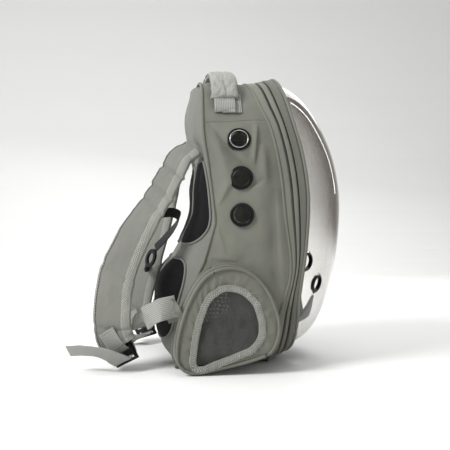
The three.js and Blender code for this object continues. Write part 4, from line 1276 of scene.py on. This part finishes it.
seatNear = [strapSeat(nearPath, 13, 5, a, 7.6) for a in (4, -5)]
seatFar = [strapSeat(farPath, 11, 5.6, a, -7.6) for a in (14, 5)]
upNear = (nearPath(5 / 12)[0] - nearPath(6 / 12)[0]).normalized()
upFar = (farPath(0.5)[0] - farPath(0.6)[0]).normalized()
upright = Vector((0.3, 0, 1))
chestLine = [
    (-107, -68, 210.5), (-95, -61, 211.5), (-80, -42, 212), (-70, -14, 206), (-76, 12, 191),
    (-91, 32, 172), (-103.9, 44.8, 158),
]
chestWishes = [upNear, upNear] + [upright] * len(chestLine)
chestPath = makePath(seatNear + [Vector(p) for p in chestLine], chestWishes)
bm = bandMesh(chestPath, 14, 1.8, 130, columns=28, power=6)
makePiece("chestStrapNear", bm, "darkWebbing", ["sternum_strap_left"])
endPoints = [Vector((-118.3, 63.8, 126.6)), Vector((-118, 72, 125.5))] + seatFar
chestEnd = makePath(endPoints, [upright, upright, upFar, upFar])
bm = bandMesh(chestEnd, 14, 1.8, 40, columns=28, power=6)
makePiece("chestStrapFar", bm, "darkWebbing", ["sternum_strap_right"])
roundPlastic(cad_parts["sternum_buckle"], 0.6)
print("chest strap made")

# Mat on the cabin's floor, curled up at the front
matProfile = [
    (-66, 3.2, 62), (20, 3.2, 56), (48, 4.5, 52), (66, 13, 58), (77, 25, 60), (89, 37, 62),
    (103, 44, 58), (117, 49, 52), (129, 55, 44),
]
matLine = [Vector((x, 0, z)) for x, z, half in matProfile]
matHalf = [Vector((half, 0, 0)) for x, z, half in matProfile]


def matPlace(u, v):
    p = curveAt(matLine, v)
    half = curveAt(matHalf, v).x
    s = 2 * u - 1
    slope = max(0, (p.x - 48) / 60)
    rise = 3.8 + ripple(Vector((p.x, s * half, 0)), 25, 0.7, 3)
    return Vector((p.x - rise * slope, s * half, p.z + rise * (1 - slope * 0.7) + slope ** 2 * 20 * s * s))


bm = gridMesh(70, 90, matPlace, (0.18, 0.25))
makePiece("floorMat", bm, "mat", ["floor_mat"], away=(0, 0, -400), thickness=3.4)
for name, s in (("Left", 0.02), ("Right", 0.98)):
    bm = cordMesh(lambda t: matPlace(s, 0.005 + 0.99 * t) - Vector((0, 0, 1.2)), 230, 1.8, 80, closed=False)
    makePiece(f"matEdge{name}", bm, "mat")
print("mat made")

# Stage, light and camera

# Sheet that lies flat under the bag and curves up behind it
def floorPlace(u, v):
    return Vector(((u - 0.5) * 6000, -1500 + 4000 * v, max(0, (v - 0.75) * 4) ** 2 * 2200))


floor = gridMesh(60, 60, floorPlace, (6, 6))
mesh = bpy.data.meshes.new("floor")
floor.to_mesh(mesh)
floor.free()
backdrop = addObject("floor", mesh)
mesh.materials.append(newMaterial("floorPaper", (0.92, 0.92, 0.91), 0.9))

lamps = [
    {"name": "keyLight", "place": (-1.5, -0.85, 1.5), "size": (0.8, 0.8), "power": 40},
    {"name": "domeLight", "place": (1.45, 1.25, 1.0), "size": (0.06, 1.3), "power": 1.6},
    {"name": "backLight", "place": (0.2, 1.4, 1.2), "size": (1.6, 1.0), "power": 12},
    {"name": "topLight", "place": (0.1, 0.1, 1.8), "size": (1.0, 1.0), "power": 9},
]
for spec in lamps:
    data = bpy.data.lights.new(spec["name"], "AREA")
    data.shape = "RECTANGLE"
    data.size, data.size_y = spec["size"]
    data.energy = spec["power"]
    lamp = addObject(spec["name"], data)
    lamp.location = spec["place"]
    lamp.rotation_mode = "QUATERNION"
    lamp.rotation_quaternion = (Vector((0, 0, 0.2)) - lamp.location).to_track_quat("-Z", "Y")
# cards that only the dome and the plastic mirror
cards = [
    {"name": "darkCard", "centre": (2.6, -1.0, 0.6), "size": (1.0, 3.0), "colour": (0.1, 0.085, 0.065)},
    {"name": "warmCard", "centre": (2.3, -2.2, 1.0), "size": (0.7, 2.4), "colour": (0.55, 0.47, 0.36)},
    {"name": "roomCard", "centre": (0.6, -3.0, 0.9), "size": (1.6, 2.4), "colour": (0.16, 0.15, 0.135)},
]
for spec in cards:
    centre = Vector(spec["centre"])
    away = (centre - Vector((0, 0, 0.2))).normalized()
    wide = away.cross(Vector((0, 0, 1))).normalized()
    bm = bmesh.new()
    bmesh.ops.create_grid(bm, x_segments=1, y_segments=1, size=0.5)
    for vert in bm.verts:
        vert.co = centre + wide * vert.co.x * spec["size"][0] + Vector((0, 0, vert.co.y * spec["size"][1]))
    mesh = bpy.data.meshes.new(spec["name"])
    bm.to_mesh(mesh)
    bm.free()
    mesh.materials.append(newMaterial(spec["name"], spec["colour"], 1.0))
    card = addObject(spec["name"], mesh)
    card.visible_camera = False
    card.visible_diffuse = False
    card.visible_shadow = False
    card.visible_transmission = False
world = bpy.data.worlds.new("studio")
world.use_nodes = True
worldNodes, worldLinks = world.node_tree.nodes, world.node_tree.links
seen = worldNodes.new("ShaderNodeLightPath")
strength = mathNode(worldNodes, worldLinks, "MULTIPLY_ADD", seen.outputs["Is Camera Ray"], 0.55, 0.4)
worldNodes["Background"].inputs["Color"].default_value = (1, 1, 1, 1)
worldLinks.new(strength, worldNodes["Background"].inputs["Strength"])
bpy.context.scene.world = world
bpy.context.scene.view_settings.view_transform = "Standard"

cameraData = bpy.data.cameras.new("photoCamera")
cameraData.lens = 58.1
cameraData.sensor_width = 36
camera = addObject("photoCamera", cameraData)
camera.location = (-0.1245, -1.0929, 0.200)
camera.rotation_mode = "QUATERNION"
camera.rotation_quaternion = Vector((0.1245, 1.0929, 0)).to_track_quat("-Z", "Y")
cameraData.shift_y = -4 / 450
bpy.context.scene.camera = camera

print("scene made")
